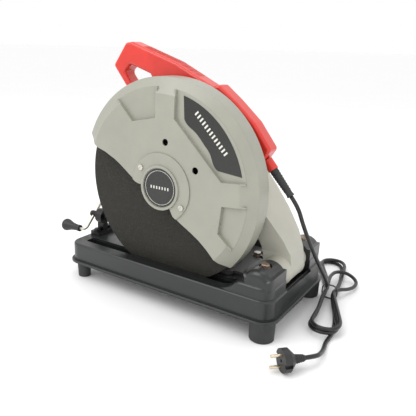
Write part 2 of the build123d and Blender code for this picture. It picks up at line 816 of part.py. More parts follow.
with BuildPart() as brush_caps:
    for turn in (1, -1):
        reach = motor_radius + 1.5
        with BuildSketch(Plane((wheel_x + motor_back + turn * reach, wheel_y + brush_y, wheel_z + motor_up),
                               z_dir=(-turn, 0, 0))):
            Circle(8)
        extrude(amount=10)
        with BuildSketch(Plane((wheel_x + motor_back + turn * reach, wheel_y + brush_y, wheel_z + motor_up),
                               z_dir=(-turn, 0, 0))):
            Rectangle(11, 1.6)
        extrude(amount=1.5, mode=Mode.SUBTRACT)
keep(brush_caps, "brush_caps")

commutator_radius = 16.0
with BuildPart() as carbon_brushes:
    for turn in (1, -1):
        start = commutator_radius + gap
        with BuildSketch(Plane((wheel_x + motor_back + turn * start, wheel_y + brush_y, wheel_z + motor_up),
                               z_dir=(turn, 0, 0))):
            Rectangle(10, 7)
        extrude(amount=motor_radius + 1.5 - 10 - start - 0.2)
keep(carbon_brushes, "carbon_brushes")

core_radius = 28.0
with BuildPart() as stator:
    with BuildSketch(side(148)):
        with Locations((motor_back, motor_up)):
            Circle(motor_radius - motor_wall - slack)
            Circle(core_radius + 1, mode=Mode.SUBTRACT)
    extrude(amount=64)
    with BuildSketch(side(148)):
        with Locations((motor_back + 36, motor_up), (motor_back - 36, motor_up)):
            Rectangle(8, 26)
    extrude(amount=64, mode=Mode.SUBTRACT)
keep(stator, "stator")

with BuildPart() as field_coils:
    with BuildSketch(side(152)):
        with Locations((motor_back + 36, motor_up), (motor_back - 36, motor_up)):
            RectangleRounded(7.4, 25.4, 2)
    extrude(amount=70)
keep(field_coils, "field_coils")

# ---------------------------------------------------------------- armature and pinion
shaft_radius = 6.0
with BuildPart() as armature:
    add(rod(motor_back, motor_up, 54, 196, shaft_radius))
    add(rod(motor_back, motor_up, 86, 146, core_radius, shaft_radius - 1))
    for turn in range(16):
        angle = math.radians(turn * 360 / 16)
        x = motor_back + (core_radius - 0.5) * math.cos(angle)
        z = motor_up + (core_radius - 0.5) * math.sin(angle)
        add(rod(x, z, 85, 147, 1.2), mode=Mode.SUBTRACT)
keep(armature, "armature")

with BuildPart() as commutator:
    add(rod(motor_back, motor_up, 156, 174, commutator_radius, shaft_radius))
    for turn in range(20):
        angle = math.radians(turn * 360 / 20)
        x = motor_back + commutator_radius * math.cos(angle)
        z = motor_up + commutator_radius * math.sin(angle)
        add(rod(x, z, 155, 175, 0.5), mode=Mode.SUBTRACT)
keep(commutator, "commutator")

blade_count = 9
with BuildPart() as cooling_fan:
    add(rod(motor_back, motor_up, 70.5, 72.5, 42, shaft_radius))
    add(rod(motor_back, motor_up, 70.5, 80, 10, shaft_radius))
    with BuildSketch(side(80)):
        with Locations((motor_back, motor_up)):
            with PolarLocations(26, blade_count):
                Rectangle(30, 2, rotation=14)
    extrude(amount=9)
    with BuildSketch(side(80)):
        with Locations((motor_back, motor_up)):
            Circle(shaft_radius)
    extrude(amount=12, mode=Mode.SUBTRACT)
keep(cooling_fan, "cooling_fan")

with BuildPart() as armature_bearings:
    for y_from, bore in ((60, shaft_radius), (motor_back_end, shaft_radius)):
        add(rod(motor_back, motor_up, y_from, y_from + 8, 13, bore + running))
keep(armature_bearings, "armature_bearings")


def toothed(radius, teeth, addendum, dedendum, start, x, z, y_from, y_to, bore):
    """Spur gear with straight-flanked teeth, the first of them at the angle start."""
    pitch = 2 * math.pi * radius / teeth
    root = radius - dedendum
    with BuildPart() as wheel:
        with BuildSketch(side(y_to)):
            with Locations((x, z)):
                Circle(root)
        extrude(amount=y_to - y_from)
        with BuildSketch(side(y_to)):
            with Locations((x, z)):
                with PolarLocations(0, teeth, start_angle=start):
                    with BuildLine(mode=Mode.PRIVATE) as flank:
                        Polyline(
                            (root - 0.6, pitch * 0.30),
                            (radius + addendum, pitch * 0.11),
                            (radius + addendum, -pitch * 0.11),
                            (root - 0.6, -pitch * 0.30),
                            close=True,
                        )
                    add(make_face(flank.line, mode=Mode.PRIVATE))
        extrude(amount=y_to - y_from)
        with BuildSketch(side(y_to)):
            with Locations((x, z)):
                Circle(bore)
        extrude(amount=y_to - y_from, mode=Mode.SUBTRACT)
    return wheel.part


gear_y = (42.0, 53.0)
centre_angle = math.degrees(math.atan2(motor_up, motor_back))
tooth_high = 1.15
tooth_deep = 1.6
with BuildPart() as spindle_gear:
    add(toothed(gear_pitch, gear_teeth, tooth_high, tooth_deep, centre_angle, 0, 0, *gear_y, 8))
keep(spindle_gear, "spindle_gear")

with BuildPart() as pinion:
    half_pitch = 180 / pinion_teeth
    add(toothed(pinion_pitch, pinion_teeth, tooth_high, tooth_deep, centre_angle + 180 + half_pitch,
                motor_back, motor_up, gear_y[0] - 0.5, gear_y[1] + 1, 3))
    add(rod(motor_back, motor_up, gear_y[0] - 0.5, gear_y[1] + 1, 3.5))
keep(pinion, "pinion")

# ---------------------------------------------------------------- spindle, flanges and wheel
spindle_radius = 8.0
flange_radius = 36.0
wheel_half = wheel_thickness / 2
boss_radius = wheel_bore / 2 - running
with BuildPart() as spindle:
    add(rod(0, 0, 12, 66, spindle_radius))
    add(rod(0, 0, -9, 12, 6.5))
    with BuildSketch(side(-9)):
        Circle(4)
    extrude(amount=-18, mode=Mode.SUBTRACT)
keep(spindle, "spindle")

with BuildPart() as spindle_bearings:
    add(rod(0, 0, 28, 39, 17.5, spindle_radius + running))
    add(rod(0, 0, case_joint, case_joint + 8, 16, spindle_radius + running))
keep(spindle_bearings, "spindle_bearings")

with BuildPart() as inner_flange:
    add(rod(0, 0, wheel_half, 12, flange_radius, 6.5))
    add(rod(0, 0, -wheel_half, wheel_half, boss_radius, 6.5))
    add(rod(0, 0, wheel_half, 2.4, flange_radius - 10, 14), mode=Mode.SUBTRACT)
    add(rod(0, 0, 12, 18, 14, spindle_radius + running))
keep(inner_flange, "inner_flange")

with BuildPart() as outer_flange:
    add(rod(0, 0, -8, -wheel_half, flange_radius, 6.5))
    add(rod(0, 0, -2.4, -wheel_half, flange_radius - 10, 14), mode=Mode.SUBTRACT)
keep(outer_flange, "outer_flange")

with BuildPart() as wheel_bolt:
    add(rod(0, 0, -10.5, -9, 12))
    with BuildSketch(side(-10.5)):
        RegularPolygon(8.5, 6, major_radius=False)
    extrude(amount=6.5)
    add(rod(0, 0, -10, 8, 4 - running))
keep(wheel_bolt, "wheel_bolt")

with BuildPart() as cutting_wheel:
    add(rod(0, 0, -wheel_half, wheel_half, wheel_diameter / 2, wheel_bore / 2))
keep(cutting_wheel, "cutting_wheel")

# ---------------------------------------------------------------- guard
guard_axis = line_y(-guard_ahead, guard_rise)
open_side = [
    (-240, 92),
    (-182, 76),
    (-165.6, 67.8),
    (-148, 53),
    (-128, 47),
    (-104, 36),
    (-92, 28.6),
    (-68.6, 11.8),
    (-54.6, 2),
    (-47, 0),
    (0, 0),
    (20, -32),
    (28, -47),
    (43, -56.7),
    (64, -68.4),
    (81, -79),
    (97.5, -92.3),
    (112, -106.8),
    (120, -113.7),
    (132, -118.7),
    (190, -146),
    (190, -240),
    (-240, -240),
]
rear_hub = 60.0


def panel_outline(corners):
    """Recessed panel: its straight sides between the corners, and an arc under the bevel."""
    reach = guard_face_radius + 14
    first, last = [
        (-guard_ahead + reach * math.cos(a), guard_rise + reach * math.sin(a))
        for a in [math.atan2(c[1] - guard_rise, c[0] + guard_ahead) for c in (corners[0], corners[-1])]
    ]
    middle = (math.atan2(first[1], first[0] + guard_ahead) + math.atan2(last[1], last[0] + guard_ahead)) / 2
    with BuildSketch() as outline:
        with BuildLine():
            Polyline(first, *corners[1:-1], last)
            ThreePointArc(
                last,
                (-guard_ahead + reach * math.cos(middle), guard_rise + reach * math.sin(middle)),
                first,
            )
        make_face()
    return outline.sketch


panels = (
    [(-95, 140), (-63, 109.5), (-13, 119.5), (-13, 170.5)],
    [(27, 170), (26, 121.5), (120, 28.7), (168, 33.5)],
    [(169, -7), (123, -11), (118, -59), (148, -85)],
)
access_holes = ((8.7, 80.7), (70.4, 40.6))
cover_screws_at = ((-41.5, 31.0), (45.7, -27.6))
guard_bolts_at = ((8.7, 92.0), (70.4, 40.6), (30.0, -36.0))
hub_opening = 47.0

with BuildPart() as wheel_guard:
    with BuildSketch(along(-guard_ahead, guard_rise)):
        with BuildLine():
            Polyline(
                (-guard_front, 0),
                (-guard_front, guard_face_radius),
                (-guard_bevel, guard_radius),
                (guard_back, guard_radius),
                (guard_back, 0),
                (guard_back - guard_wall, 0),
                (guard_back - guard_wall, guard_radius - guard_wall),
                (-guard_bevel + 1, guard_radius - guard_wall),
                (-guard_front + guard_wall, guard_face_radius - 1.5),
                (-guard_front + guard_wall, 0),
                close=True,
            )
        make_face()
    revolve(axis=guard_axis)
    for corners in panels:
        with BuildSketch(side(-guard_front + panel_depth + guard_wall)):
            add(panel_outline(corners))
            offset(amount=2.5)
            with Locations((-guard_ahead, guard_rise)):
                Circle(guard_face_radius + 11, mode=Mode.INTERSECT)
        extrude(amount=panel_depth + 0.5)
        with BuildSketch(side(-guard_front + panel_depth)):
            add(panel_outline(corners))
        extrude(amount=panel_depth + 5, mode=Mode.SUBTRACT)
    with BuildSketch(side(-guard_bevel + 8)):
        with Locations(*access_holes):
            Circle(6)
        Circle(hub_opening)
    extrude(amount=guard_front, mode=Mode.SUBTRACT)
    with BuildSketch(side(10)):
        with BuildLine():
            Polyline(*open_side, close=True)
        make_face()
    extrude(amount=60, mode=Mode.SUBTRACT)
    with BuildSketch(side(guard_back + 1)):
        with BuildLine():
            Polyline(*open_side, close=True)
        make_face()
        Circle(rear_hub, mode=Mode.SUBTRACT)
    extrude(amount=guard_back - 9, mode=Mode.SUBTRACT)
    with BuildSketch(side(guard_back + 1)):
        Circle(20)
    extrude(amount=6, mode=Mode.SUBTRACT)
    with BuildSketch(side(guard_back + 1)):
        with Locations(*guard_bolts_at):
            Circle(3 + slack)
    extrude(amount=5, mode=Mode.SUBTRACT)
    with BuildSketch(side(-guard_front + guard_wall + 1)):
        with Locations(*cover_screws_at):
            Circle(2.5 + slack)
    extrude(amount=8, mode=Mode.SUBTRACT)
keep(wheel_guard, "wheel_guard")

# ---------------------------------------------------------------- hub cover, labels and screws
cover_thickness = 2.0
cover_face = -guard_front - cover_thickness
ring_height = 3.0
label_thickness = 0.6
with BuildPart() as hub_cover:
    with BuildSketch(side(-guard_front)):
        Circle(hub_cover_radius)
        with BuildLine():
            Polyline(*open_side, close=True)
        make_face(mode=Mode.SUBTRACT)
        Circle(hub_ring_radius)
    extrude(amount=cover_thickness)
    with BuildSketch(side(cover_face)):
        Circle(hub_ring_radius)
        Circle(hub_ring_radius - 5, mode=Mode.SUBTRACT)
    extrude(amount=ring_height)
    fillet(hub_cover.edges().group_by(Axis.Y)[0], 1)
    with BuildSketch(side(-guard_front)):
        Circle(hub_ring_radius)
        Circle(hub_ring_radius - 2.5, mode=Mode.SUBTRACT)
    extrude(amount=-13)
    with BuildSketch(side(-guard_front)):
        with Locations(*cover_screws_at):
            Circle(2.5 + slack)
    extrude(amount=cover_thickness, mode=Mode.SUBTRACT)
keep(hub_cover, "hub_cover")

with BuildPart() as hub_label:
    add(rod(0, 0, cover_face - label_thickness, cover_face, hub_ring_radius - 6))
keep(hub_label, "hub_label")

panel_floor = -guard_front + panel_depth
with BuildPart() as guard_label:
    with BuildSketch(side(panel_floor)):
        with BuildLine():
            Polyline((40.5, 160), (42.7, 122.4))
            Spline((42.7, 122.4), (47.8, 114.8), (63.9, 103.4), (83.9, 82.9), (93.9, 71.1),
                   (102.3, 52.6), (110.1, 45.5))
            Polyline((110.1, 45.5), (154, 41.3))
            ThreePointArc((154, 41.3), (107.6, 121.9), (40.5, 160))
        make_face()
    extrude(amount=label_thickness)
keep(guard_label, "guard_label")

with BuildPart() as cover_screws:
    for x, z in cover_screws_at:
        add(rod(x, z, cover_face - 2.4, cover_face, 5))
        add(rod(x, z, cover_face, -guard_front + guard_wall + 5, 2.5))
        with BuildSketch(side(cover_face - 2.4)):
            with Locations((x, z)):
                Rectangle(8, 1.2, rotation=35)
        extrude(amount=-1.2, mode=Mode.SUBTRACT)
keep(cover_screws, "cover_screws")

with BuildPart() as guard_bolts:
    for x, z in guard_bolts_at[:2]:
        add(rod(x, z, guard_back - guard_wall - 5, guard_back - guard_wall, 5))
        add(rod(x, z, guard_back - guard_wall, guard_back, 3))
        add(rod(x, z, guard_back - guard_wall - 5, guard_back - guard_wall - 2, 2.5), mode=Mode.SUBTRACT)
    x, z = guard_bolts_at[2]
    add(rod(x, z, guard_back - guard_wall - 4, guard_back - guard_wall, 5))
    add(rod(x, z, guard_back - guard_wall, guard_back, 3))
keep(guard_bolts, "guard_bolts")

# ---------------------------------------------------------------- handle
handle_outline = [
    (-163, 199),
    (-133, 240),
    (-118, 242),
    (-18, 209),
    (57, 173),
    (64, 175),
    (72, 175),
    (102, 152),
    (140, 119),
    (172, 78),
    (160, 58),
    (150, 46),
    (134, 72),
    (100, 110),
    (62, lug_top),
    (-62, lug_top),
    (-110, 134),
]
loop_hole = [(-136, 187), (-122, 202), (-76, 187), (-70, 178), (-70, 162), (-108, 153)]
handle_pocket = [
    (-60, 190),
    (-20, 200),
    (56, 165),
    (72, 166),
    (98, 145),
    (134, 113),
    (160, 79),
    (148, 64),
    (104, 116),
    (64, 143),
    (-56, 143),
    (-60, 160),
]
handle_bends = [(-163, 199), (-133, 240), (-118, 242), (-110, 134), (172, 78), (-136, 187), (-122, 202)]
trigger_room = [(-122, 200), (-76, 185.5), (-69, 184), (-69, 202), (-116, 219)]
trigger_shape = [(-120, 201.5), (-77, 187.5), (-71, 189), (-71, 195), (-115, 208.5)]
trigger_pin = (-76.5, 191.5)
trigger_width = 13.0
relief_start = (160.0, 58.0)
relief_lean = math.degrees(math.atan2(-40, 35))
collar_radius = 9.0
collar_length = 20.0
relief_length = 52.0
handle_screws_at = ((-148, 200), (-64, 150), (20, 158), (96, 125), (154, 70))


def relief_plane(distance):
    """Plane square to the cord's way out, this far along it from inside the handle's end."""
    lean = math.radians(relief_lean)
    x, z = relief_start
    return Plane(
        (
            wheel_x + x + distance * math.cos(lean),
            wheel_y + handle_split,
            wheel_z + z + distance * math.sin(lean),
        ),
        x_dir=(0, 1, 0),
        z_dir=(math.cos(lean), 0, math.sin(lean)),
    )


def handle_shell(y_from, y_to, open_to):
    """One half of the handle between two planes, hollowed from the joint plane."""
    outer_face = y_from if open_to == y_to else y_to
    pocket = (y_from + shell_wall, y_to) if open_to == y_to else (y_from, y_to - shell_wall)
    with BuildPart() as shell:
        with BuildSketch(side(y_to)):
            with BuildLine():
                Polyline(*handle_outline, close=True)
            make_face()
            with BuildLine():
                Polyline(*loop_hole, close=True)
            make_face(mode=Mode.SUBTRACT)
            rounded = [v for v in vertices() if min(math.dist((v.X, v.Y), b) for b in handle_bends) < 0.5]
            fillet(rounded, 7)
        extrude(amount=y_to - y_from)
        flats = shell.faces().filter_by(Axis.Y)
        rim = flats.filter_by(lambda f: abs(f.center().Y - wheel_y - outer_face) < 0.1)
        fillet(rim.edges(), grip_round)
        with BuildSketch(relief_plane(0)):
            Circle(collar_radius)
        extrude(amount=collar_length)
        with BuildSketch(side(y_from if open_to == y_from else y_to + 40)):
            Rectangle(800, 800)
        extrude(amount=40, mode=Mode.SUBTRACT)
        with BuildSketch(side(pocket[1])):
            with BuildLine():
                Polyline(*handle_pocket, close=True)
            make_face()
        extrude(amount=pocket[1] - pocket[0], mode=Mode.SUBTRACT)
        with BuildSketch(side(handle_split + trigger_width / 2 + gap)):
            with BuildLine():
                Polyline(*trigger_room, close=True)
            make_face()
        extrude(amount=trigger_width + 2 * gap, mode=Mode.SUBTRACT)
        with BuildSketch(side(y_to + 1)):
            with Locations(*handle_screws_at):
                Circle(2 + slack)
        extrude(amount=y_to - handle_near - 2, mode=Mode.SUBTRACT)
        with BuildSketch(side(handle_split + 10)):
            with Locations(trigger_pin):
                Circle(1.5 + running)
        extrude(amount=20, mode=Mode.SUBTRACT)
        with BuildSketch(relief_plane(2)):
            Circle(5)
        extrude(amount=collar_length, mode=Mode.SUBTRACT)
    return shell.part


with BuildPart() as handle_near_shell:
    add(handle_shell(handle_near, handle_split, handle_split))
keep(handle_near_shell, "handle_near_shell")

button_at = (-40.0, 190.0)
button_radius = 4.5
with BuildPart() as handle_far_shell:
    add(handle_shell(handle_split, handle_far, handle_split))
    with BuildSketch(side(handle_far + 1)):
        with Locations(button_at):
            Circle(button_radius + 0.3)
    extrude(amount=6, mode=Mode.SUBTRACT)
    with BuildSketch(side(handle_far)):
        with Locations(*handle_screws_at):
            Circle(3.6)
    extrude(amount=2.5, mode=Mode.SUBTRACT)
keep(handle_far_shell, "handle_far_shell")

with BuildPart() as handle_screws:
    for x, z in handle_screws_at:
        add(rod(x, z, handle_far - 2.5, handle_far - 0.5, 3.4))
        add(rod(x, z, handle_near + 5, handle_far - 2.5, 2))
keep(handle_screws, "handle_screws")

with BuildPart() as trigger:
    with BuildSketch(side(handle_split + trigger_width / 2)):
        with BuildLine():
            Polyline(*trigger_shape, close=True)
        make_face()
    extrude(amount=trigger_width)
    fillet(trigger.edges().filter_by(Axis.Y), 1.2)
    with BuildSketch(side(handle_split + 10)):
        with Locations(trigger_pin):
            Circle(1.5 + running)
    extrude(amount=20, mode=Mode.SUBTRACT)
keep(trigger, "trigger")

with BuildPart() as trigger_pivot:
    add(rod(*trigger_pin, handle_split - 9.5, handle_split + 9.5, 1.5))
keep(trigger_pivot, "trigger_pivot")

with BuildPart() as power_switch:
    with BuildSketch(side(handle_split + 7)):
        with Locations((-36, 172)):
            Rectangle(36, 22)
    extrude(amount=14)
keep(power_switch, "power_switch")

with BuildPart() as lock_button:
    add(rod(*button_at, handle_far - 5, handle_far + 2.5, button_radius))
    fillet(lock_button.edges().group_by(Axis.Y)[-1], 1)
keep(lock_button, "lock_button")

relief_end = collar_length + relief_length
with BuildPart() as strain_relief:
    with BuildSketch(relief_plane(collar_length)):
        Circle(7.2)
    with BuildSketch(relief_plane(collar_length + relief_length - 6)):
        Circle(5.6)
    loft()
    with BuildSketch(relief_plane(relief_end - 6)):
        Circle(5.6)
    with BuildSketch(relief_plane(relief_end)):
        Circle(6.6)
    loft()
    with BuildSketch(relief_plane(6)):
        Circle(4.9)
    extrude(amount=collar_length - 6)
keep(strain_relief, "strain_relief")

# ---------------------------------------------------------------- mains cord, hank, tie and plug
cord_radius = cord_diameter / 2
hank_height = 25.0
exit_point = relief_plane(relief_end).origin
exit_run = relief_plane(relief_end + 21).origin
drop_points = [
    (exit_point.X, exit_point.Y, exit_point.Z),
    (exit_run.X, exit_run.Y, exit_run.Z),
    (259.5, -17.8, 183.0),
    (267.5, -2.0, 149.0),
    (274.5, 17.2, 117.0),
    (279.5, 41.0, 86.0),
    (281.5, 66.0, 64.0),
    (280.5, 86.2, 49.0),
    (280.5, 86.2, hank_height),
]
plug_way = Vector(-0.665, -0.747, 0).normalized()
plug_start = Vector(327.2, -139.8, 18.5)
last_run = plug_start - plug_way * 20
tail_points = [
    (331.0, -33.8, cord_radius + 0.1),
    (331.0, -55.8, cord_radius + 0.1),
    (336.0, -78.8, cord_radius + 1.5),
    (339.5, -101.8, 11.0),
    (last_run.X, last_run.Y, last_run.Z),
    (plug_start.X, plug_start.Y, plug_start.Z),
]


def corner_radii(points):
    """Each arc's radius: 0.45 of the shorter run over the tangent of half the turn."""
    spots = [Vector(*p) for p in points]
    radii = []
    for before, here, after in zip(spots, spots[1:], spots[2:]):
        turn = math.radians((here - before).get_angle(after - here))
        shorter = min((here - before).length, (after - here).length)
        radii.append(0.45 * shorter / math.tan(turn / 2))
    return radii


def cord_tube(points, name):
    """Straight runs joined by tangent arcs, with the cord's round section."""
    radii = corner_radii(points)
    with BuildPart() as tube:
        with BuildLine() as route:
            FilletPolyline(*points, radius=radii)
        with BuildSketch(Plane(points[0], z_dir=route.line % 0)):
            Circle(cord_radius)
        sweep()
    length = route.wires()[0].length
    share = tube.part.volume / (math.pi * cord_radius**2 * length)
    print(name, "radii", [round(r, 1) for r in radii], "length", round(length, 1), "share", round(share, 4))
    return tube.part


with BuildPart() as cord_drop:
    add(cord_tube(drop_points, "cord_drop"))
keep(cord_drop, "cord_drop")

with BuildPart() as cord_tail:
    add(cord_tube(tail_points, "cord_tail"))
keep(cord_tail, "cord_tail")

hank_outline = [
    (319, tail_points[0][1]),
    (338, tail_points[0][1]),
    (339, -18),
    (333, 14),
    (318, 56),
    (296, 98),
    (291, 118),
    (304, 148),
    (303, 178),
    (291, 184),
    (277, 160),
    (262, 206),
    (243, 260),
    (227, 266),
    (218, 254),
    (230, 204),
    (247, 154),
    (261, 118),
    (267, 66),
    (279, 26),
    (299, -12),
]
with BuildPart() as cord_hank:
    with BuildSketch(Plane.XY):
        with BuildLine():
            Polyline(*hank_outline, close=True)
        make_face()
    extrude(amount=hank_height)
    fillet(cord_hank.edges().group_by(Axis.Z)[-1], 5)
keep(cord_hank, "cord_hank")

with BuildPart() as cord_tie:
    with BuildSketch(Plane((0, 110, 0), x_dir=(1, 0, 0), z_dir=(0, -1, 0))):
        with Locations((278.5, (hank_height + 2) / 2)):
            Rectangle(37, hank_height + 2)
        with Locations((278.5, hank_height / 2)):
            Rectangle(34, hank_height, mode=Mode.SUBTRACT)
    extrude(amount=4)
keep(cord_tie, "cord_tie")

plug_radius = 18.4
pin_spacing = 19.0
pin_radius = 2.4
pin_length = 18.0
plug_relief = 18.0
plug_depth = 38.0


def plug_plane(distance):
    """Plane square to the plug's axis, its X upwards."""
    return Plane(plug_start + plug_way * distance, x_dir=(0, 0, 1), z_dir=plug_way)


with BuildPart() as plug_body:
    with BuildSketch(plug_plane(0)):
        Circle(cord_radius + 1)
    with BuildSketch(plug_plane(plug_relief)):
        Circle(7)
    loft()
    with BuildSketch(plug_plane(plug_relief)):
        Circle(9)
    with BuildSketch(plug_plane(plug_relief + 9)):
        Circle(plug_radius)
    loft()
    with BuildSketch(plug_plane(plug_relief + 9)):
        Circle(plug_radius)
        with Locations((0, plug_radius), (0, -plug_radius)):
            Rectangle(6, 8, mode=Mode.SUBTRACT)
    extrude(amount=plug_depth - plug_relief - 9)
    with BuildSketch(plug_plane(plug_depth)):
        with Locations((0, 0)):
            Circle(2.6)
    extrude(amount=-9, mode=Mode.SUBTRACT)
keep(plug_body, "plug_body")

with BuildPart() as plug_pins:
    with BuildSketch(plug_plane(plug_depth)):
        with Locations((pin_spacing / 2, 0), (-pin_spacing / 2, 0)):
            Circle(pin_radius)
    extrude(amount=pin_length)
    chamfer(plug_pins.edges().sort_by(Axis.X)[:2], 1)
keep(plug_pins, "plug_pins")
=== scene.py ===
# Abrasive chop saw: camera, light, the mains cord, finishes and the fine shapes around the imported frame.
import math

import bpy
import numpy as np
from mathutils import Matrix, Vector


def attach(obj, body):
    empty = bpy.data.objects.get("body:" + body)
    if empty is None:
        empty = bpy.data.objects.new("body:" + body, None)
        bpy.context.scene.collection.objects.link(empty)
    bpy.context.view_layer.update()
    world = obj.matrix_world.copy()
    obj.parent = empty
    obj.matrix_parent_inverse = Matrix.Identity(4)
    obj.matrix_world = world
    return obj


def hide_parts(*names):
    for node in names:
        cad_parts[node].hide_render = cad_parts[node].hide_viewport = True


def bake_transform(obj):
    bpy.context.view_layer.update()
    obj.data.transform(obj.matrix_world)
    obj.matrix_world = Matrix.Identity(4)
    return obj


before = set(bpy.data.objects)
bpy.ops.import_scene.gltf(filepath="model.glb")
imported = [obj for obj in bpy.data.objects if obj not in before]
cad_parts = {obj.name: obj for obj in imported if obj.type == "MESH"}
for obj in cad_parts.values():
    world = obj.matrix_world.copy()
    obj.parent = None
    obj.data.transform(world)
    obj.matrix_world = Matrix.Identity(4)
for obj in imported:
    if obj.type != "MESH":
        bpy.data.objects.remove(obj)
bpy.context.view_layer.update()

# the wheel's centre in the row frame, in metres
HUB = np.array([0.0315, -0.0838, 0.225])


# ------------------------------------------------------------------ camera, light and floor
def aim_camera():
    """Camera whose back, right and up follow from azimuth, elevation and roll, in degrees."""
    azimuth, elevation, roll = (math.radians(v) for v in (34.56, 17.16, 1.23))
    back = Vector((math.sin(azimuth) * math.cos(elevation), -math.cos(azimuth) * math.cos(elevation),
                   math.sin(elevation)))
    level = Vector((math.cos(azimuth), math.sin(azimuth), 0))
    rise = back.cross(level)
    right = level * math.cos(roll) + rise * math.sin(roll)
    up = rise * math.cos(roll) - level * math.sin(roll)
    lens = bpy.data.cameras.new("camera")
    lens.lens = 44.57
    lens.sensor_width = 36.0
    lens.shift_x = 0.073
    lens.shift_y = -0.0096
    camera = bpy.data.objects.new("camera", lens)
    place = Matrix((right, up, back)).transposed().to_4x4()
    place.translation = (0.5472, -0.8035, 0.4629)
    camera.matrix_world = place
    bpy.context.collection.objects.link(camera)
    bpy.context.scene.camera = camera


def soft_box(name, place, target, size, power):
    """Square area light at place, facing target."""
    lamp = bpy.data.lights.new(name, "AREA")
    lamp.energy = power
    lamp.size = size
    box = bpy.data.objects.new(name, lamp)
    box.location = place
    box.rotation_euler = (Vector(target) - Vector(place)).to_track_quat("-Z", "Y").to_euler()
    bpy.context.collection.objects.link(box)


def light_studio():
    """Even pale surroundings, one large key from the left and above, and a weaker fill."""
    world = bpy.data.worlds.new("studio")
    world.use_nodes = True
    world.node_tree.nodes["Background"].inputs["Color"].default_value = (1.0, 1.0, 1.0, 1.0)
    world.node_tree.nodes["Background"].inputs["Strength"].default_value = 1.0
    bpy.context.scene.world = world
    soft_box("key", (-0.7, -1.3, 1.7), (0.0, 0.0, 0.2), 1.4, 17.0)
    soft_box("fill", (1.7, -0.9, 0.9), (0.0, 0.0, 0.2), 1.2, 3.0)
    soft_box("top", (0.1, 0.4, 1.9), (0.0, 0.0, 0.2), 1.2, 6.0)
    bpy.context.scene.view_settings.view_transform = "Standard"


# ------------------------------------------------------------------ shader arithmetic
class Sum:
    """A socket whose arithmetic adds Math nodes to its finish."""

    def __init__(self, finish, socket):
        self.finish = finish
        self.socket = socket

    def apply(self, operation, *terms):
        return self.finish.node("ShaderNodeMath", {"operation": operation}, dict(enumerate(terms)))

    def __add__(self, other):
        return self.apply("ADD", self, other)

    def __radd__(self, other):
        return self.apply("ADD", other, self)

    def __sub__(self, other):
        return self.apply("SUBTRACT", self, other)

    def __rsub__(self, other):
        return self.apply("SUBTRACT", other, self)

    def __mul__(self, other):
        return self.apply("MULTIPLY", self, other)

    def __rmul__(self, other):
        return self.apply("MULTIPLY", other, self)

    def __truediv__(self, other):
        return self.apply("DIVIDE", self, other)

    def __rtruediv__(self, other):
        return self.apply("DIVIDE", other, self)

    def __pow__(self, other):
        return self.apply("POWER", self, other)

    def __gt__(self, other):
        return self.apply("GREATER_THAN", self, other)

    def __lt__(self, other):
        return self.apply("LESS_THAN", self, other)


class Finish:
    """One procedural material, its nodes written as expressions."""

    def __init__(self, name):
        self.material = bpy.data.materials.new(name)
        self.material.use_nodes = True
        self.tree = self.material.node_tree
        self.shader = self.tree.nodes["Principled BSDF"]
        self.place = self.node("ShaderNodeTexCoord", {}, {}, "Object")

    def node(self, kind, settings, sockets, output=0):
        """Any node: its settings first, then its sockets' values or links."""
        made = self.tree.nodes.new(kind)
        for key, value in settings.items():
            if key == "stops":
                ramp = made.color_ramp.elements
                while len(ramp) < len(value):
                    ramp.new(0.5)
                for stop, (position, colour) in zip(ramp, value):
                    stop.position = position
                    stop.color = (*colour, 1.0)
            else:
                setattr(made, key, value)
        for key, value in sockets.items():
            self.feed(made.inputs[key], value)
        return Sum(self, made.outputs[output])

    def feed(self, socket, value):
        """Links a Sum, or sets a number, vector or colour."""
        if isinstance(value, Sum):
            self.tree.links.new(value.socket, socket)
        elif isinstance(value, (tuple, list)):
            length = len(socket.default_value)
            socket.default_value = (*value, 1.0)[:length] if length > len(value) else value
        else:
            socket.default_value = value

    def noise(self, scale, detail=3.0, roughness=0.5, distortion=0.0, at=None):
        return self.node("ShaderNodeTexNoise", {}, {
            "Vector": at or self.place, "Scale": scale, "Detail": detail,
            "Roughness": roughness, "Distortion": distortion}, "Fac")

    def cells(self, scale, feature="F1", at=None):
        return self.node("ShaderNodeTexVoronoi", {"feature": feature}, {
            "Vector": at or self.place, "Scale": scale}, "Distance")

    def mix(self, factor, low, high):
        """Colour between low and high."""
        return self.node("ShaderNodeMix", {"data_type": "RGBA"}, {0: factor, 6: low, 7: high}, 2)

    def spread(self, value, low, high, to_low=0.0, to_high=1.0):
        """Value taken from low...high to to_low...to_high, clamped."""
        return self.node("ShaderNodeMapRange", {"clamp": True}, {
            "Value": value, "From Min": low, "From Max": high, "To Min": to_low, "To Max": to_high})

    def axes(self):
        """Object x, y and z as separate sums."""
        return [self.node("ShaderNodeSeparateXYZ", {}, {0: self.place}, k) for k in range(3)]

    def bump(self, height, strength, depth, edge=0.0):
        """Normal bent by height, whose 0...1 stands for depth metres, over edges rounded to edge."""
        sockets = {"Height": height, "Strength": strength, "Distance": depth}
        if edge:
            sockets["Normal"] = self.node("ShaderNodeBevel", {"samples": 4}, {"Radius": edge})
        return self.node("ShaderNodeBump", {}, sockets, "Normal")

    def skin(self, colour, roughness, normal=None, metallic=0.0, **fixed):
        """Feeds the shader. Fixed values go on sockets by name."""
        self.feed(self.shader.inputs["Base Color"], colour)
        self.feed(self.shader.inputs["Roughness"], roughness)
        self.feed(self.shader.inputs["Metallic"], metallic)
        if normal:
            self.feed(self.shader.inputs["Normal"], normal)
        for key, value in fixed.items():
            self.shader.inputs[key.replace("_", " ")].default_value = value
        return self.material


def shade(colour, amount):
    """Colour times amount, within 0...1."""
    return tuple(min(1.0, c * amount) for c in colour)


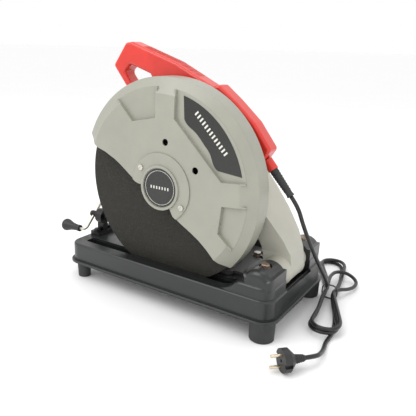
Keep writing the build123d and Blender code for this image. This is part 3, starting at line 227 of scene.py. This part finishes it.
# ------------------------------------------------------------------ finishes
def enamel(name, colour, roughness, grain=0.00006, coat=0.15, dust=0.0):
    """Sprayed paint: a fine orange peel, slow changes of tone, and broad noise patches, darker grime or,
    where dust is given, lighter dust.
    """
    f = Finish(name)
    peel = f.noise(900.0, 2.0, 0.5)
    tone = f.noise(14.0, 4.0, 0.55)
    fleck = f.noise(260.0, 5.0, 0.65)
    body = f.mix(f.spread(tone, 0.3, 0.7), shade(colour, 0.94), shade(colour, 1.05))
    grime = f.spread(f.noise(46.0, 6.0, 0.7, 0.4), 0.60, 0.74)
    body = f.mix(grime * (0.10 + dust), body, shade(colour, 0.62 if not dust else 1.5))
    return f.skin(body, f.spread(fleck, 0.3, 0.75, roughness - 0.05, roughness + 0.09),
                  f.bump(peel, 0.35, grain, 0.0012), Coat_Weight=coat, Coat_Roughness=0.25)


def moulded(name, colour, roughness, texture=1400.0, depth=0.00005, coat=0.0):
    """Moulded plastic: a fine eroded texture, faint flow lines and scuffs."""
    f = Finish(name)
    pits = f.noise(texture, 3.0, 0.6)
    flow = f.noise(22.0, 3.0, 0.5, 0.8)
    scuff = f.spread(f.noise(90.0, 8.0, 0.72), 0.62, 0.72)
    body = f.mix(f.spread(flow, 0.35, 0.65), shade(colour, 0.92), shade(colour, 1.05))
    body = f.mix(scuff * 0.16, body, shade(colour, 1.5))
    return f.skin(body, f.spread(flow + scuff * 0.3, 0.3, 0.9, roughness, roughness + 0.14),
                  f.bump(pits, 0.5, depth, 0.0010), Coat_Weight=coat, Coat_Roughness=0.18)


def hardware(name, colour, roughness, rust=0.0, turned=False):
    """Bare or plated steel: brushing, dulled patches and, where stated, rust that eats the gloss."""
    f = Finish(name)
    x, y, z = f.axes()
    brushing = f.noise(700.0, 4.0, 0.7, 0.0, f.node("ShaderNodeCombineXYZ", {}, {0: x, 1: y * 6.0, 2: z}))
    dull = f.noise(120.0, 5.0, 0.6)
    body = f.mix(f.spread(dull, 0.35, 0.7), shade(colour, 0.82), shade(colour, 1.08))
    if not rust:
        return f.skin(body, f.spread(brushing, 0.25, 0.75, roughness - 0.06, roughness + 0.12),
                      f.bump(brushing, 0.25, 0.00003), 1.0)
    patches = f.spread(f.noise(210.0, 7.0, 0.68), 0.62 - rust * 0.3, 0.70 - rust * 0.3)
    body = f.mix(patches, body, f.mix(f.noise(500.0, 3.0), (0.16, 0.055, 0.022), (0.31, 0.13, 0.05)))
    return f.skin(body, f.spread(patches, 0.0, 1.0, roughness, 0.85),
                  f.bump(patches + brushing * 0.3, 0.5, 0.00012), 1.0 - patches * 0.9)


def rubber(name, colour, roughness=0.62):
    """Moulded rubber with bloom and a little dust."""
    f = Finish(name)
    bloom = f.noise(60.0, 5.0, 0.6)
    grain = f.noise(1700.0, 2.0, 0.5)
    body = f.mix(f.spread(bloom, 0.4, 0.75), colour, shade(colour, 1.9))
    return f.skin(body, f.spread(bloom, 0.3, 0.7, roughness - 0.1, roughness + 0.12),
                  f.bump(grain, 0.4, 0.00004))


def abrasive():
    """Resin-bonded grit: dark resin, coarse and fine grains, and painted glints: light specks in the base
    colour that stand for grains catching the light.
    """
    f = Finish("grit")
    coarse = f.cells(620.0)
    fine = f.noise(1500.0, 6.0, 0.75)
    patch = f.noise(34.0, 4.0, 0.6)
    grains = f.spread(coarse, 0.0, 0.65)
    painted_glint = f.spread(f.noise(2300.0, 2.0, 0.4), 0.64, 0.70)
    body = f.mix(f.spread(fine, 0.34, 0.68), (0.007, 0.0065, 0.005), (0.030, 0.0285, 0.023))
    body = f.mix(f.spread(patch, 0.35, 0.7) * 0.3, body, (0.021, 0.020, 0.016))
    # painted highlight: light specks mixed into the base colour where grains would catch the light
    body = f.mix(painted_glint * 0.5, body, (0.30, 0.29, 0.26))
    return f.skin(body, f.spread(fine, 0.3, 0.7, 0.62, 0.92),
                  f.bump(grains * 0.6 + fine * 0.5, 0.8, 0.0005), Specular_IOR_Level=0.35)


def film():
    """Printed adhesive film: satin, with slight waviness where it follows the sheet under it."""
    f = Finish("film")
    wave = f.noise(70.0, 2.0, 0.4)
    body = f.mix(f.spread(f.noise(300.0, 4.0), 0.3, 0.75), (0.010, 0.0098, 0.009), (0.017, 0.0165, 0.015))
    return f.skin(body, f.spread(wave, 0.3, 0.7, 0.32, 0.42), f.bump(wave, 0.2, 0.0003), Coat_Weight=0.2)


def winding():
    """Enamelled copper wound along the motor: fine wires side by side."""
    f = Finish("winding")
    x, y, z = f.axes()
    strands = f.node("ShaderNodeTexWave", {"wave_type": "BANDS", "bands_direction": "X"}, {
        "Vector": f.place, "Scale": 600.0, "Distortion": 0.6, "Detail": 2.0}, "Fac")
    body = f.mix(strands, (0.30, 0.10, 0.04), (0.72, 0.33, 0.17))
    return f.skin(body, f.spread(strands, 0.0, 1.0, 0.30, 0.5), f.bump(strands, 0.6, 0.0003), 1.0)


def laminated():
    """Stacked core sheets, seen edge on across the shaft."""
    f = Finish("core")
    sheets = f.node("ShaderNodeTexWave", {"wave_type": "BANDS", "bands_direction": "Y"}, {
        "Vector": f.place, "Scale": 900.0, "Distortion": 0.2}, "Fac")
    body = f.mix(sheets, (0.22, 0.22, 0.23), (0.42, 0.42, 0.43))
    return f.skin(body, f.spread(f.noise(300.0), 0.3, 0.7, 0.35, 0.5), f.bump(sheets, 0.4, 0.0002), 1.0)


# ------------------------------------------------------------------ surfaces from arrays
def grid_faces(grid, closed_u=False, closed_v=False, caps=False):
    """Points and faces of a grid P[i, j]: each cell is a quad between neighbours along i and j, the
    last row or column joined to the first where closed. With caps, each end of i is a fan to its
    middle."""
    rows, columns = grid.shape[:2]
    index = np.arange(rows * columns).reshape(rows, columns)
    along = np.concatenate([index, index[:1]]) if closed_u else index
    across = np.concatenate([along, along[:, :1]], axis=1) if closed_v else along
    quads = np.stack([across[:-1, :-1], across[1:, :-1], across[1:, 1:], across[:-1, 1:]], axis=-1)
    faces = quads.reshape(-1, 4).tolist()
    points = grid.reshape(-1, 3)
    if caps:
        ends = np.stack([grid[0].mean(axis=0), grid[-1].mean(axis=0)])
        points = np.concatenate([points, ends])
        first, last = len(points) - 2, len(points) - 1
        turn = np.roll(index, -1, axis=1)
        faces += np.stack([index[0], turn[0], np.full(columns, first)], axis=-1).tolist()
        faces += np.stack([turn[-1], index[-1], np.full(columns, last)], axis=-1).tolist()
    return points, faces


def sheet_mesh(name, grids, **closing):
    """One mesh of one or several grids, each closed in the same way."""
    points, faces, count = [], [], 0
    for grid in grids if isinstance(grids, list) else [grids]:
        these, cells = grid_faces(grid, **closing)
        points.append(these)
        faces += [[corner + count for corner in cell] for cell in cells]
        count += len(these)
    mesh = bpy.data.meshes.new(name)
    mesh.from_pydata(np.concatenate(points).tolist(), [], faces)
    mesh.update()
    return mesh


def point_out(mesh):
    """Turns a closed mesh's faces outwards, if its signed volume says that they point in."""
    co = np.empty(len(mesh.vertices) * 3)
    mesh.vertices.foreach_get("co", co)
    co = co.reshape(-1, 3) - co.reshape(-1, 3).mean(axis=0)
    mesh.calc_loop_triangles()
    tri = np.empty(len(mesh.loop_triangles) * 3, dtype=np.int64)
    mesh.loop_triangles.foreach_get("vertices", tri)
    a, b, c = (co[tri.reshape(-1, 3)[:, k]] for k in range(3))
    if np.einsum("ij,ij->i", a, np.cross(b, c)).sum() < 0:
        mesh.flip_normals()


def place(name, mesh, body, material, slot=None, smooth=True):
    """Object at the origin, its faces outwards, riding on a body. A piece that rides on no body is given None
    here."""
    point_out(mesh)
    mesh.materials.append(material)
    if smooth:
        mesh.shade_smooth()
    piece = bpy.data.objects.new(name, mesh)
    bpy.context.collection.objects.link(piece)
    if body:
        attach(piece, body)
    return piece


def frames_along(path):
    """Unit tangents, and two normals carried along the path with the least turning."""
    tangent = np.gradient(path, axis=0)
    tangent /= np.linalg.norm(tangent, axis=1, keepdims=True)
    normal = np.empty_like(path)
    normal[0] = np.cross(tangent[0], (0.0, 1.0, 0.0) if abs(tangent[0][1]) < 0.9 else (1.0, 0.0, 0.0))
    for k in range(1, len(path)):
        step = normal[k - 1] - tangent[k] * np.dot(normal[k - 1], tangent[k])
        normal[k] = step / np.linalg.norm(step)
    normal[0] /= np.linalg.norm(normal[0])
    return tangent, normal, np.cross(tangent, normal)


def tube(path, radius, around=16):
    """Points at radius r from the path: P = path + r (cos v n + sin v b). r may vary along it."""
    tangent, normal, side = frames_along(path)
    v = np.linspace(0, 2 * math.pi, around, endpoint=False)
    r = np.broadcast_to(np.asarray(radius, float), (len(path),))[:, None, None]
    out = np.cos(v)[None, :, None] * normal[:, None] + np.sin(v)[None, :, None] * side[:, None]
    return path[:, None] + r * out


def turned(profile, foot, way, around=40):
    """Surface of revolution: a profile of (distance along way, radius) turned round the axis."""
    way = np.asarray(way, float) / np.linalg.norm(way)
    aside = np.cross(way, (0, 0, 1.0) if abs(way[2]) < 0.9 else (1.0, 0, 0))
    aside /= np.linalg.norm(aside)
    third = np.cross(way, aside)
    v = np.linspace(0, 2 * math.pi, around, endpoint=False)
    s = np.asarray(profile, float)
    ring = np.cos(v)[:, None] * aside + np.sin(v)[:, None] * third
    return np.asarray(foot) + s[:, 0][:, None, None] * way + s[:, 1][:, None, None] * ring[None]


def prism(outline, low, high, axis=1, edge=0.0):
    """Closed bar: a flat outline of (first, second) points between two levels of the third axis,
    with its rims drawn in by edge."""
    outline = np.asarray(outline, float)
    middle = outline.mean(axis=0)
    away = outline - middle
    drawn = middle + away * (1 - edge / np.maximum(np.linalg.norm(away, axis=1, keepdims=True), 1e-9))
    levels = [(drawn, low), (outline, low + edge), (outline, high - edge), (drawn, high)]
    if not edge:
        levels = [(outline, low), (outline, high)]
    rings = []
    for shape, level in levels:
        ring = np.empty((len(shape), 3))
        others = [k for k in range(3) if k != axis]
        ring[:, others[0]] = shape[:, 0]
        ring[:, others[1]] = shape[:, 1]
        ring[:, axis] = level
        rings.append(ring)
    return np.stack(rings)


def helix(foot, way, length, radius, pitch, turns_per_ring=18):
    """Centreline of a thread: radius round the axis, rising by the pitch each turn."""
    way = np.asarray(way, float) / np.linalg.norm(way)
    aside = np.cross(way, (0, 0, 1.0) if abs(way[2]) < 0.9 else (1.0, 0, 0))
    aside /= np.linalg.norm(aside)
    third = np.cross(way, aside)
    count = int(length / pitch * turns_per_ring)
    s = np.linspace(0.0, length, count)
    a = 2 * math.pi * s / pitch
    ring = np.cos(a)[:, None] * aside + np.sin(a)[:, None] * third
    return np.asarray(foot) + s[:, None] * way + radius * ring


# ------------------------------------------------------------------ mains cord
CORD = 0.007
TROUGH_WALL = 0.0025


def metres(rows):
    """Rows of millimetres as metres."""
    return np.asarray(rows, float) / 1000.0


def cord_route():
    """Control points of the whole cord: down from the handle to the hank, which is two and a half
    turns laid one on the other, and out along the floor to the plug."""
    drop = [(238.912, -27.8, 228.814), (252.741, -27.8, 213.01), (259.5, -17.8, 183), (267.5, -2, 149),
            (274.5, 17.2, 117), (279.5, 41, 86), (281.5, 66, 60), (280, 86, 38)]
    stray_fold = [(274, 104, 23.4), (271, 124, 23.0), (265, 146, 22.6), (262, 168, 22.2), (264, 190, 21.4),
                  (277, 206, 18.2), (295, 206, 12.5), (308, 192, 8.6), (310, 168, 8.6), (305, 146, 11),
                  (296, 124, 16.5), (288, 104, 19.6)]
    upper_loop = [(297, 82, 19.2), (312, 50, 18.6), (328, 16, 18.2), (339, -8, 18.0), (339, -27, 17.9),
                  (326, -40, 17.9), (307, -40, 17.8), (294, -27, 17.7), (291, -6, 17.5), (289, 18, 17.2),
                  (283, 50, 16.8), (276, 80, 16.4)]
    middle_fold = [(273, 104, 16), (271, 122, 15), (262, 150, 13), (246, 184, 11.4), (228, 218, 10.9),
                   (216, 242, 10.9), (216, 261, 10.9), (229, 274, 10.9), (248, 274, 10.9), (261, 261, 10.9),
                   (268, 236, 10.9), (273, 210, 10.9), (279, 182, 10.9), (284, 150, 11.2), (287, 124, 12),
                   (287, 104, 12.4)]
    lower_loop = [(295, 82, 11.9), (308, 52, 11.3), (323, 18, 10.9), (335, -6, 10.7), (336, -27, 10.6),
                  (323, -40, 10.6), (304, -40, 10.4), (291, -27, 10.2), (289, -4, 10.0), (287, 20, 9.8),
                  (281, 50, 9.5), (275, 80, 9.1)]
    floor_fold = [(272, 104, 8.8), (268, 122, 7), (257, 150, 4.6), (240, 184, 3.6), (222, 216, 3.6),
                  (209, 240, 3.6), (208, 260, 3.6), (221, 274, 3.6), (240, 275, 3.6), (254, 263, 3.6),
                  (263, 238, 3.6), (270, 210, 3.6), (277, 182, 3.6), (283, 150, 3.8), (287, 124, 4.4),
                  (287, 104, 5.2)]
    out = [(297, 80, 4.6), (310, 50, 3.9), (322, 16, 3.6), (329, -12, 3.6), (331, -33.8, 3.6),
           (331, -55.8, 3.6), (336, -78.8, 5), (339.5, -101.8, 11), (340.498, -124.862, 18.5),
           (327.2, -139.8, 18.5)]
    return metres(drop + stray_fold + upper_loop + middle_fold + lower_loop + floor_fold + out)


def cord_line(points):
    """Points along one smooth NURBS spline of order 3 with those control points."""
    line = bpy.data.curves.new("cord_line", "CURVE")
    line.dimensions = "3D"
    line.resolution_u = 10
    run = line.splines.new("NURBS")
    run.points.add(len(points) - 1)
    run.points.foreach_set("co", np.column_stack([points, np.ones(len(points))]).ravel())
    run.order_u = 3
    run.use_endpoint_u = True
    holder = bpy.data.objects.new("cord_line", line)
    bpy.context.collection.objects.link(holder)
    bpy.context.view_layer.update()
    sampled = bpy.data.meshes.new_from_object(holder)
    path = np.empty(len(sampled.vertices) * 3)
    sampled.vertices.foreach_get("co", path)
    bpy.data.objects.remove(holder)
    bpy.data.meshes.remove(sampled)
    return path.reshape(-1, 3)


def evenly(path, step):
    """The path again, at even steps along its length."""
    run = np.concatenate([[0.0], np.cumsum(np.linalg.norm(np.diff(path, axis=0), axis=1))])
    keep = np.linspace(0.0, run[-1], max(2, int(run[-1] / step)))
    return np.stack([np.interp(keep, run, path[:, k]) for k in range(3)], axis=1), run[-1]


def lay_cord(material):
    """The cord: a tube of its real thickness along the smooth line."""
    path, length = evenly(cord_line(cord_route()), 0.0022)
    mesh = sheet_mesh("mains_cord", tube(path, CORD / 2, 14), closed_v=True, caps=True)
    cord = place("mains_cord", mesh, None, material, "cord_black")
    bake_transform(cord)
    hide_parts("cord_drop", "cord_hank", "cord_tail")
    return cord


# ------------------------------------------------------------------ pieces on the frame
def at(x, y, z):
    """A point measured in millimetres from the wheel's centre, in the row frame."""
    return HUB + np.array([x, y, z]) / 1000.0


def rings(name, foot, way, spots, width, rise, body, material, slot):
    """Moulded or turned rings: at each (distance, radius) a rounded ridge stands rise proud."""
    grids = []
    for distance, radius in spots:
        t = np.linspace(0, math.pi, 7)
        profile = np.stack([distance - width * np.cos(t), radius - 0.0003 + rise * np.sin(t)], axis=1)
        inner = [(distance + width, radius - 0.0008), (distance - width, radius - 0.0008)]
        grids.append(turned(np.concatenate([profile, inner]), foot, way))
    return place(name, sheet_mesh(name, grids, closed_u=True, closed_v=True), body, material, slot)


def wind_threads(material):
    """Round-crested thread on the vise screw, a helix with the pitch that the crank's travel has."""
    grids = []
    for x_from, x_to in ((-236.0, -218.0), (-194.0, 6.0)):
        path = helix(at(x_from, 47.0, -113.0), (1, 0, 0), (x_to - x_from) / 1000.0, 0.0059, 0.005, 20)
        grids.append(tube(path, 0.0011, 6))
    place("screw_thread", sheet_mesh("screw_thread", grids, closed_v=True, caps=True), "vise_screw",
          material, "black_steel")


def rib_grip(material):
    """Fine half-round ribs across the top of the handle's grip, closer together than a finger."""
    grids = []
    for x in np.arange(-92.0, 26.0, 4.2):
        z = 242.0 - (x + 118.0) * 0.33 if x < -18.0 else 209.0 - (x + 18.0) * 0.48
        run = np.stack([at(x, y, z) for y in np.linspace(44.6, 67.4, 12)])
        ends = np.sin(np.linspace(0.12, math.pi - 0.12, 12)) ** 0.35
        grids.append(tube(run, 0.0009 * ends, 8))
    ribs = sheet_mesh("grip_ribs", grids, closed_v=True, caps=True)
    place("grip_ribs", ribs, "head", material, "handle_red")


def print_marks(material):
    """Plain printed marks: even ticks along the guard's film, and a ring with ticks on the hub's."""
    grids = []
    run = np.array([0.69, -0.724])
    across = np.array([0.724, 0.69])
    for step in np.arange(-44.0, 44.1, 6.8):
        middle = np.array([97.0, 102.0]) + run * step
        corners = [middle + run * a * 1.5 + across * b * 4.2 for a, b in ((-1, -1), (1, -1), (1, 1), (-1, 1))]
        grids.append(tick(corners, -19.25, -18.95))
    for step in np.arange(-18.0, 18.1, 6.0):
        corners = [(step - 1.3, -2.6), (step + 1.3, -2.6), (step + 1.3, 2.6), (step - 1.3, 2.6)]
        grids.append(tick(corners, -27.85, -27.55))
    marks = sheet_mesh("print_ticks", grids, closed_v=True, caps=True)
    place("print_ticks", marks, "head", material, "label_black", smooth=False)
    a = np.array([(0.0, 0.0300), (0.00028, 0.0300), (0.00028, 0.0308), (0.0, 0.0308)])
    ring = turned(a, at(0.0, -27.55, 0.0), (0, -1, 0), 64)
    place("print_ring", sheet_mesh("print_ring", ring, closed_u=True, closed_v=True), "head", material,
          "label_black", smooth=False)


def tick(corners, front, back):
    """Thin printed bar: four corners of (x, z) in millimetres from the hub, between two y levels."""
    xz = np.asarray(corners) / 1000.0 + HUB[[0, 2]]
    return prism(xz, HUB[1] + front / 1000.0, HUB[1] + back / 1000.0)


def tie_hank(material):
    """Band round the hank: a rounded oblong loop, its section a flattened oval."""
    u = np.linspace(0, 2 * math.pi, 72, endpoint=False)
    c, s = np.cos(u), np.sin(u)
    x = 0.2803 + 0.0146 * np.sign(c) * np.abs(c) ** 0.55
    z = 0.0148 + 0.0138 * np.sign(s) * np.abs(s) ** 0.7
    loop = np.stack([x, np.full_like(x, 0.1065), z], axis=1)
    out = np.stack([c, np.zeros_like(c), s], axis=1)
    v = np.linspace(0, 2 * math.pi, 10, endpoint=False)
    band = loop[:, None] + 0.0009 * np.cos(v)[None, :, None] * out[:, None]
    band = band + 0.0026 * np.sin(v)[None, :, None] * np.array([0.0, 1.0, 0.0])
    tie = place("hank_tie", sheet_mesh("hank_tie", band, closed_u=True, closed_v=True), "stand",
                material, "plastic_black")
    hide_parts("cord_tie")
    return tie


def hang_trough(name, middle, size, top, floor_z, corner, material):
    """Open box under the tray: rings of a rounded rectangle (corner centres plus a radius turned
    through u) up the outside, over the rim and down the inside, with both end rings closed."""
    u = np.linspace(0, 2 * math.pi, 48, endpoint=False)
    c, s = np.cos(u), np.sin(u)
    half_x, half_y = size[0] / 2 - corner, size[1] / 2 - corner
    rings_up = []
    for grow, z in ((TROUGH_WALL, floor_z - TROUGH_WALL), (TROUGH_WALL, top), (0.0, top), (0.0, floor_z)):
        radius = corner + grow
        rings_up.append(np.stack([middle[0] + np.sign(c) * half_x + radius * c,
                                  middle[1] + np.sign(s) * half_y + radius * s,
                                  np.full_like(u, z)], axis=1))
    mesh = sheet_mesh(name, np.array(rings_up), closed_v=True, caps=True)
    return place(name, mesh, "stand", material, "tray_black", smooth=False)


def paint_frame(finishes, of_node):
    """Each CAD node gets its finish."""
    for node, name in of_node.items():
        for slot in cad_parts[node].material_slots:
            slot.material = finishes[name]


aim_camera()
light_studio()

finishes = {
    "tray": enamel("tray_enamel", (0.012, 0.0135, 0.0135), 0.34, 0.00007, 0.25, 0.03),
    "casting": enamel("casting_paint", (0.46, 0.45, 0.385), 0.48, 0.00010),
    "guard": enamel("guard_paint", (0.315, 0.315, 0.262), 0.42, 0.00005, 0.2),
    "fence": enamel("fence_paint", (0.065, 0.064, 0.063), 0.40),
    "handle": moulded("red_nylon", (0.66, 0.026, 0.014), 0.30, coat=0.35),
    "trigger": moulded("dark_red_nylon", (0.38, 0.020, 0.015), 0.42),
    "plastic": moulded("black_moulding", (0.018, 0.018, 0.018), 0.45),
    "cable": rubber("cable_sheath", (0.009, 0.009, 0.009), 0.34),
    "rubber": rubber("foot_rubber", (0.022, 0.023, 0.023)),
    "film": film(),
    "grit": abrasive(),
    "zinc": hardware("zinc_plate", (0.62, 0.60, 0.54), 0.32),
    "steel": hardware("turned_steel", (0.50, 0.50, 0.50), 0.28),
    "rusty": hardware("weathered_steel", (0.36, 0.29, 0.23), 0.45, rust=0.35),
    "blacked": hardware("blacked_steel", (0.055, 0.055, 0.055), 0.40),
    "nickel": hardware("nickel_plate", (0.72, 0.62, 0.46), 0.22),
    "copper": winding(),
    "core": laminated(),
    "print": enamel("off_white_print", (0.72, 0.71, 0.66), 0.5),
}
finish_of = {
    "base": "tray", "front_feet": "rubber", "rear_feet": "rubber", "foot_screws": "zinc",
    "pivot_shaft": "steel", "washers": "rusty", "pivot_bolts": "rusty", "return_spring": "steel",
    "fence": "fence", "fence_bolts": "zinc", "plate_nuts": "zinc", "vise_bracket": "blacked",
    "vise_nut": "blacked", "bracket_bolts": "blacked", "lead_screw": "blacked", "crank": "zinc",
    "crank_knob": "plastic", "vise_saddle": "blacked", "vise_jaw": "fence", "jaw_pin": "steel",
    "arm": "casting", "gear_cover": "casting", "motor_housing": "casting", "end_cap": "plastic",
    "brush_caps": "plastic", "carbon_brushes": "blacked", "stator": "core", "field_coils": "copper",
    "armature": "core", "commutator": "copper", "cooling_fan": "plastic", "armature_bearings": "steel",
    "spindle_gear": "steel", "pinion": "steel", "spindle": "steel", "spindle_bearings": "steel",
    "inner_flange": "steel", "outer_flange": "steel", "wheel_bolt": "zinc", "cutting_wheel": "grit",
    "wheel_guard": "guard", "hub_cover": "guard", "hub_label": "film", "guard_label": "film",
    "cover_screws": "zinc", "guard_bolts": "blacked", "handle_near_shell": "handle",
    "handle_far_shell": "handle", "handle_screws": "blacked", "trigger": "trigger",
    "trigger_pivot": "steel", "power_switch": "plastic", "lock_button": "plastic",
    "strain_relief": "rubber", "cord_drop": "cable", "cord_hank": "cable", "cord_tail": "cable",
    "cord_tie": "plastic", "plug_body": "plastic", "plug_pins": "nickel",
}
paint_frame(finishes, finish_of)

relief_way = (0.6585, 0.0, -0.7526)
rings("relief_ribs", (0.1915, -0.0278, 0.283), relief_way,
      [(d / 1000, (7.2 - 1.6 * (d - 20) / 46) / 1000) for d in range(25, 64, 5)], 0.0014, 0.0009,
      "head", finishes["rubber"], "plastic_black")
plug_rings = [(d / 1000, (4.5 + 2.5 * d / 18) / 1000) for d in (3, 6.4, 9.8, 13.2, 16.6)]
plug_ribs = rings("plug_ribs", (0.3272, -0.1398, 0.0185), (-0.665, -0.747, 0.0), plug_rings,
                  0.0011, 0.0012, "stand", finishes["plastic"], "plastic_black")
hank_tie = tie_hank(finishes["plastic"])
lay_cord(finishes["cable"])
wind_threads(finishes["blacked"])
slot_low, slot_high = at(-198.0, -12.0, 0.0), at(143.0, 11.0, 0.0)
under_tray = 0.0715  # just inside the tray's top sheet
hang_trough("slot_trough", (slot_low + slot_high) / 2, slot_high - slot_low, under_tray, 0.0385, 0.006,
            finishes["tray"])
hang_trough("arm_pan", (0.2230, 0.0), (0.0560, 0.1060), under_tray, 0.0600, 0.004, finishes["tray"])
rib_grip(finishes["handle"])
print_marks(finishes["print"])

floor_finish = Finish("studio_floor")
tone = floor_finish.noise(2.0, 3.0, 0.5)
pale = floor_finish.mix(floor_finish.spread(tone, 0.3, 0.7), (0.97, 0.97, 0.97), (0.98, 0.98, 0.98))
floor_finish.skin(pale, floor_finish.spread(tone, 0.3, 0.7, 0.75, 0.8))
reach = np.linspace(-60.0, 60.0, 3)
ground = np.stack(np.meshgrid(reach, reach, indexing="ij") + [np.zeros((3, 3))], axis=-1)
floor = bpy.data.objects.new("floor", sheet_mesh("floor", ground))
floor.data.materials.append(floor_finish.material)
bpy.context.collection.objects.link(floor)
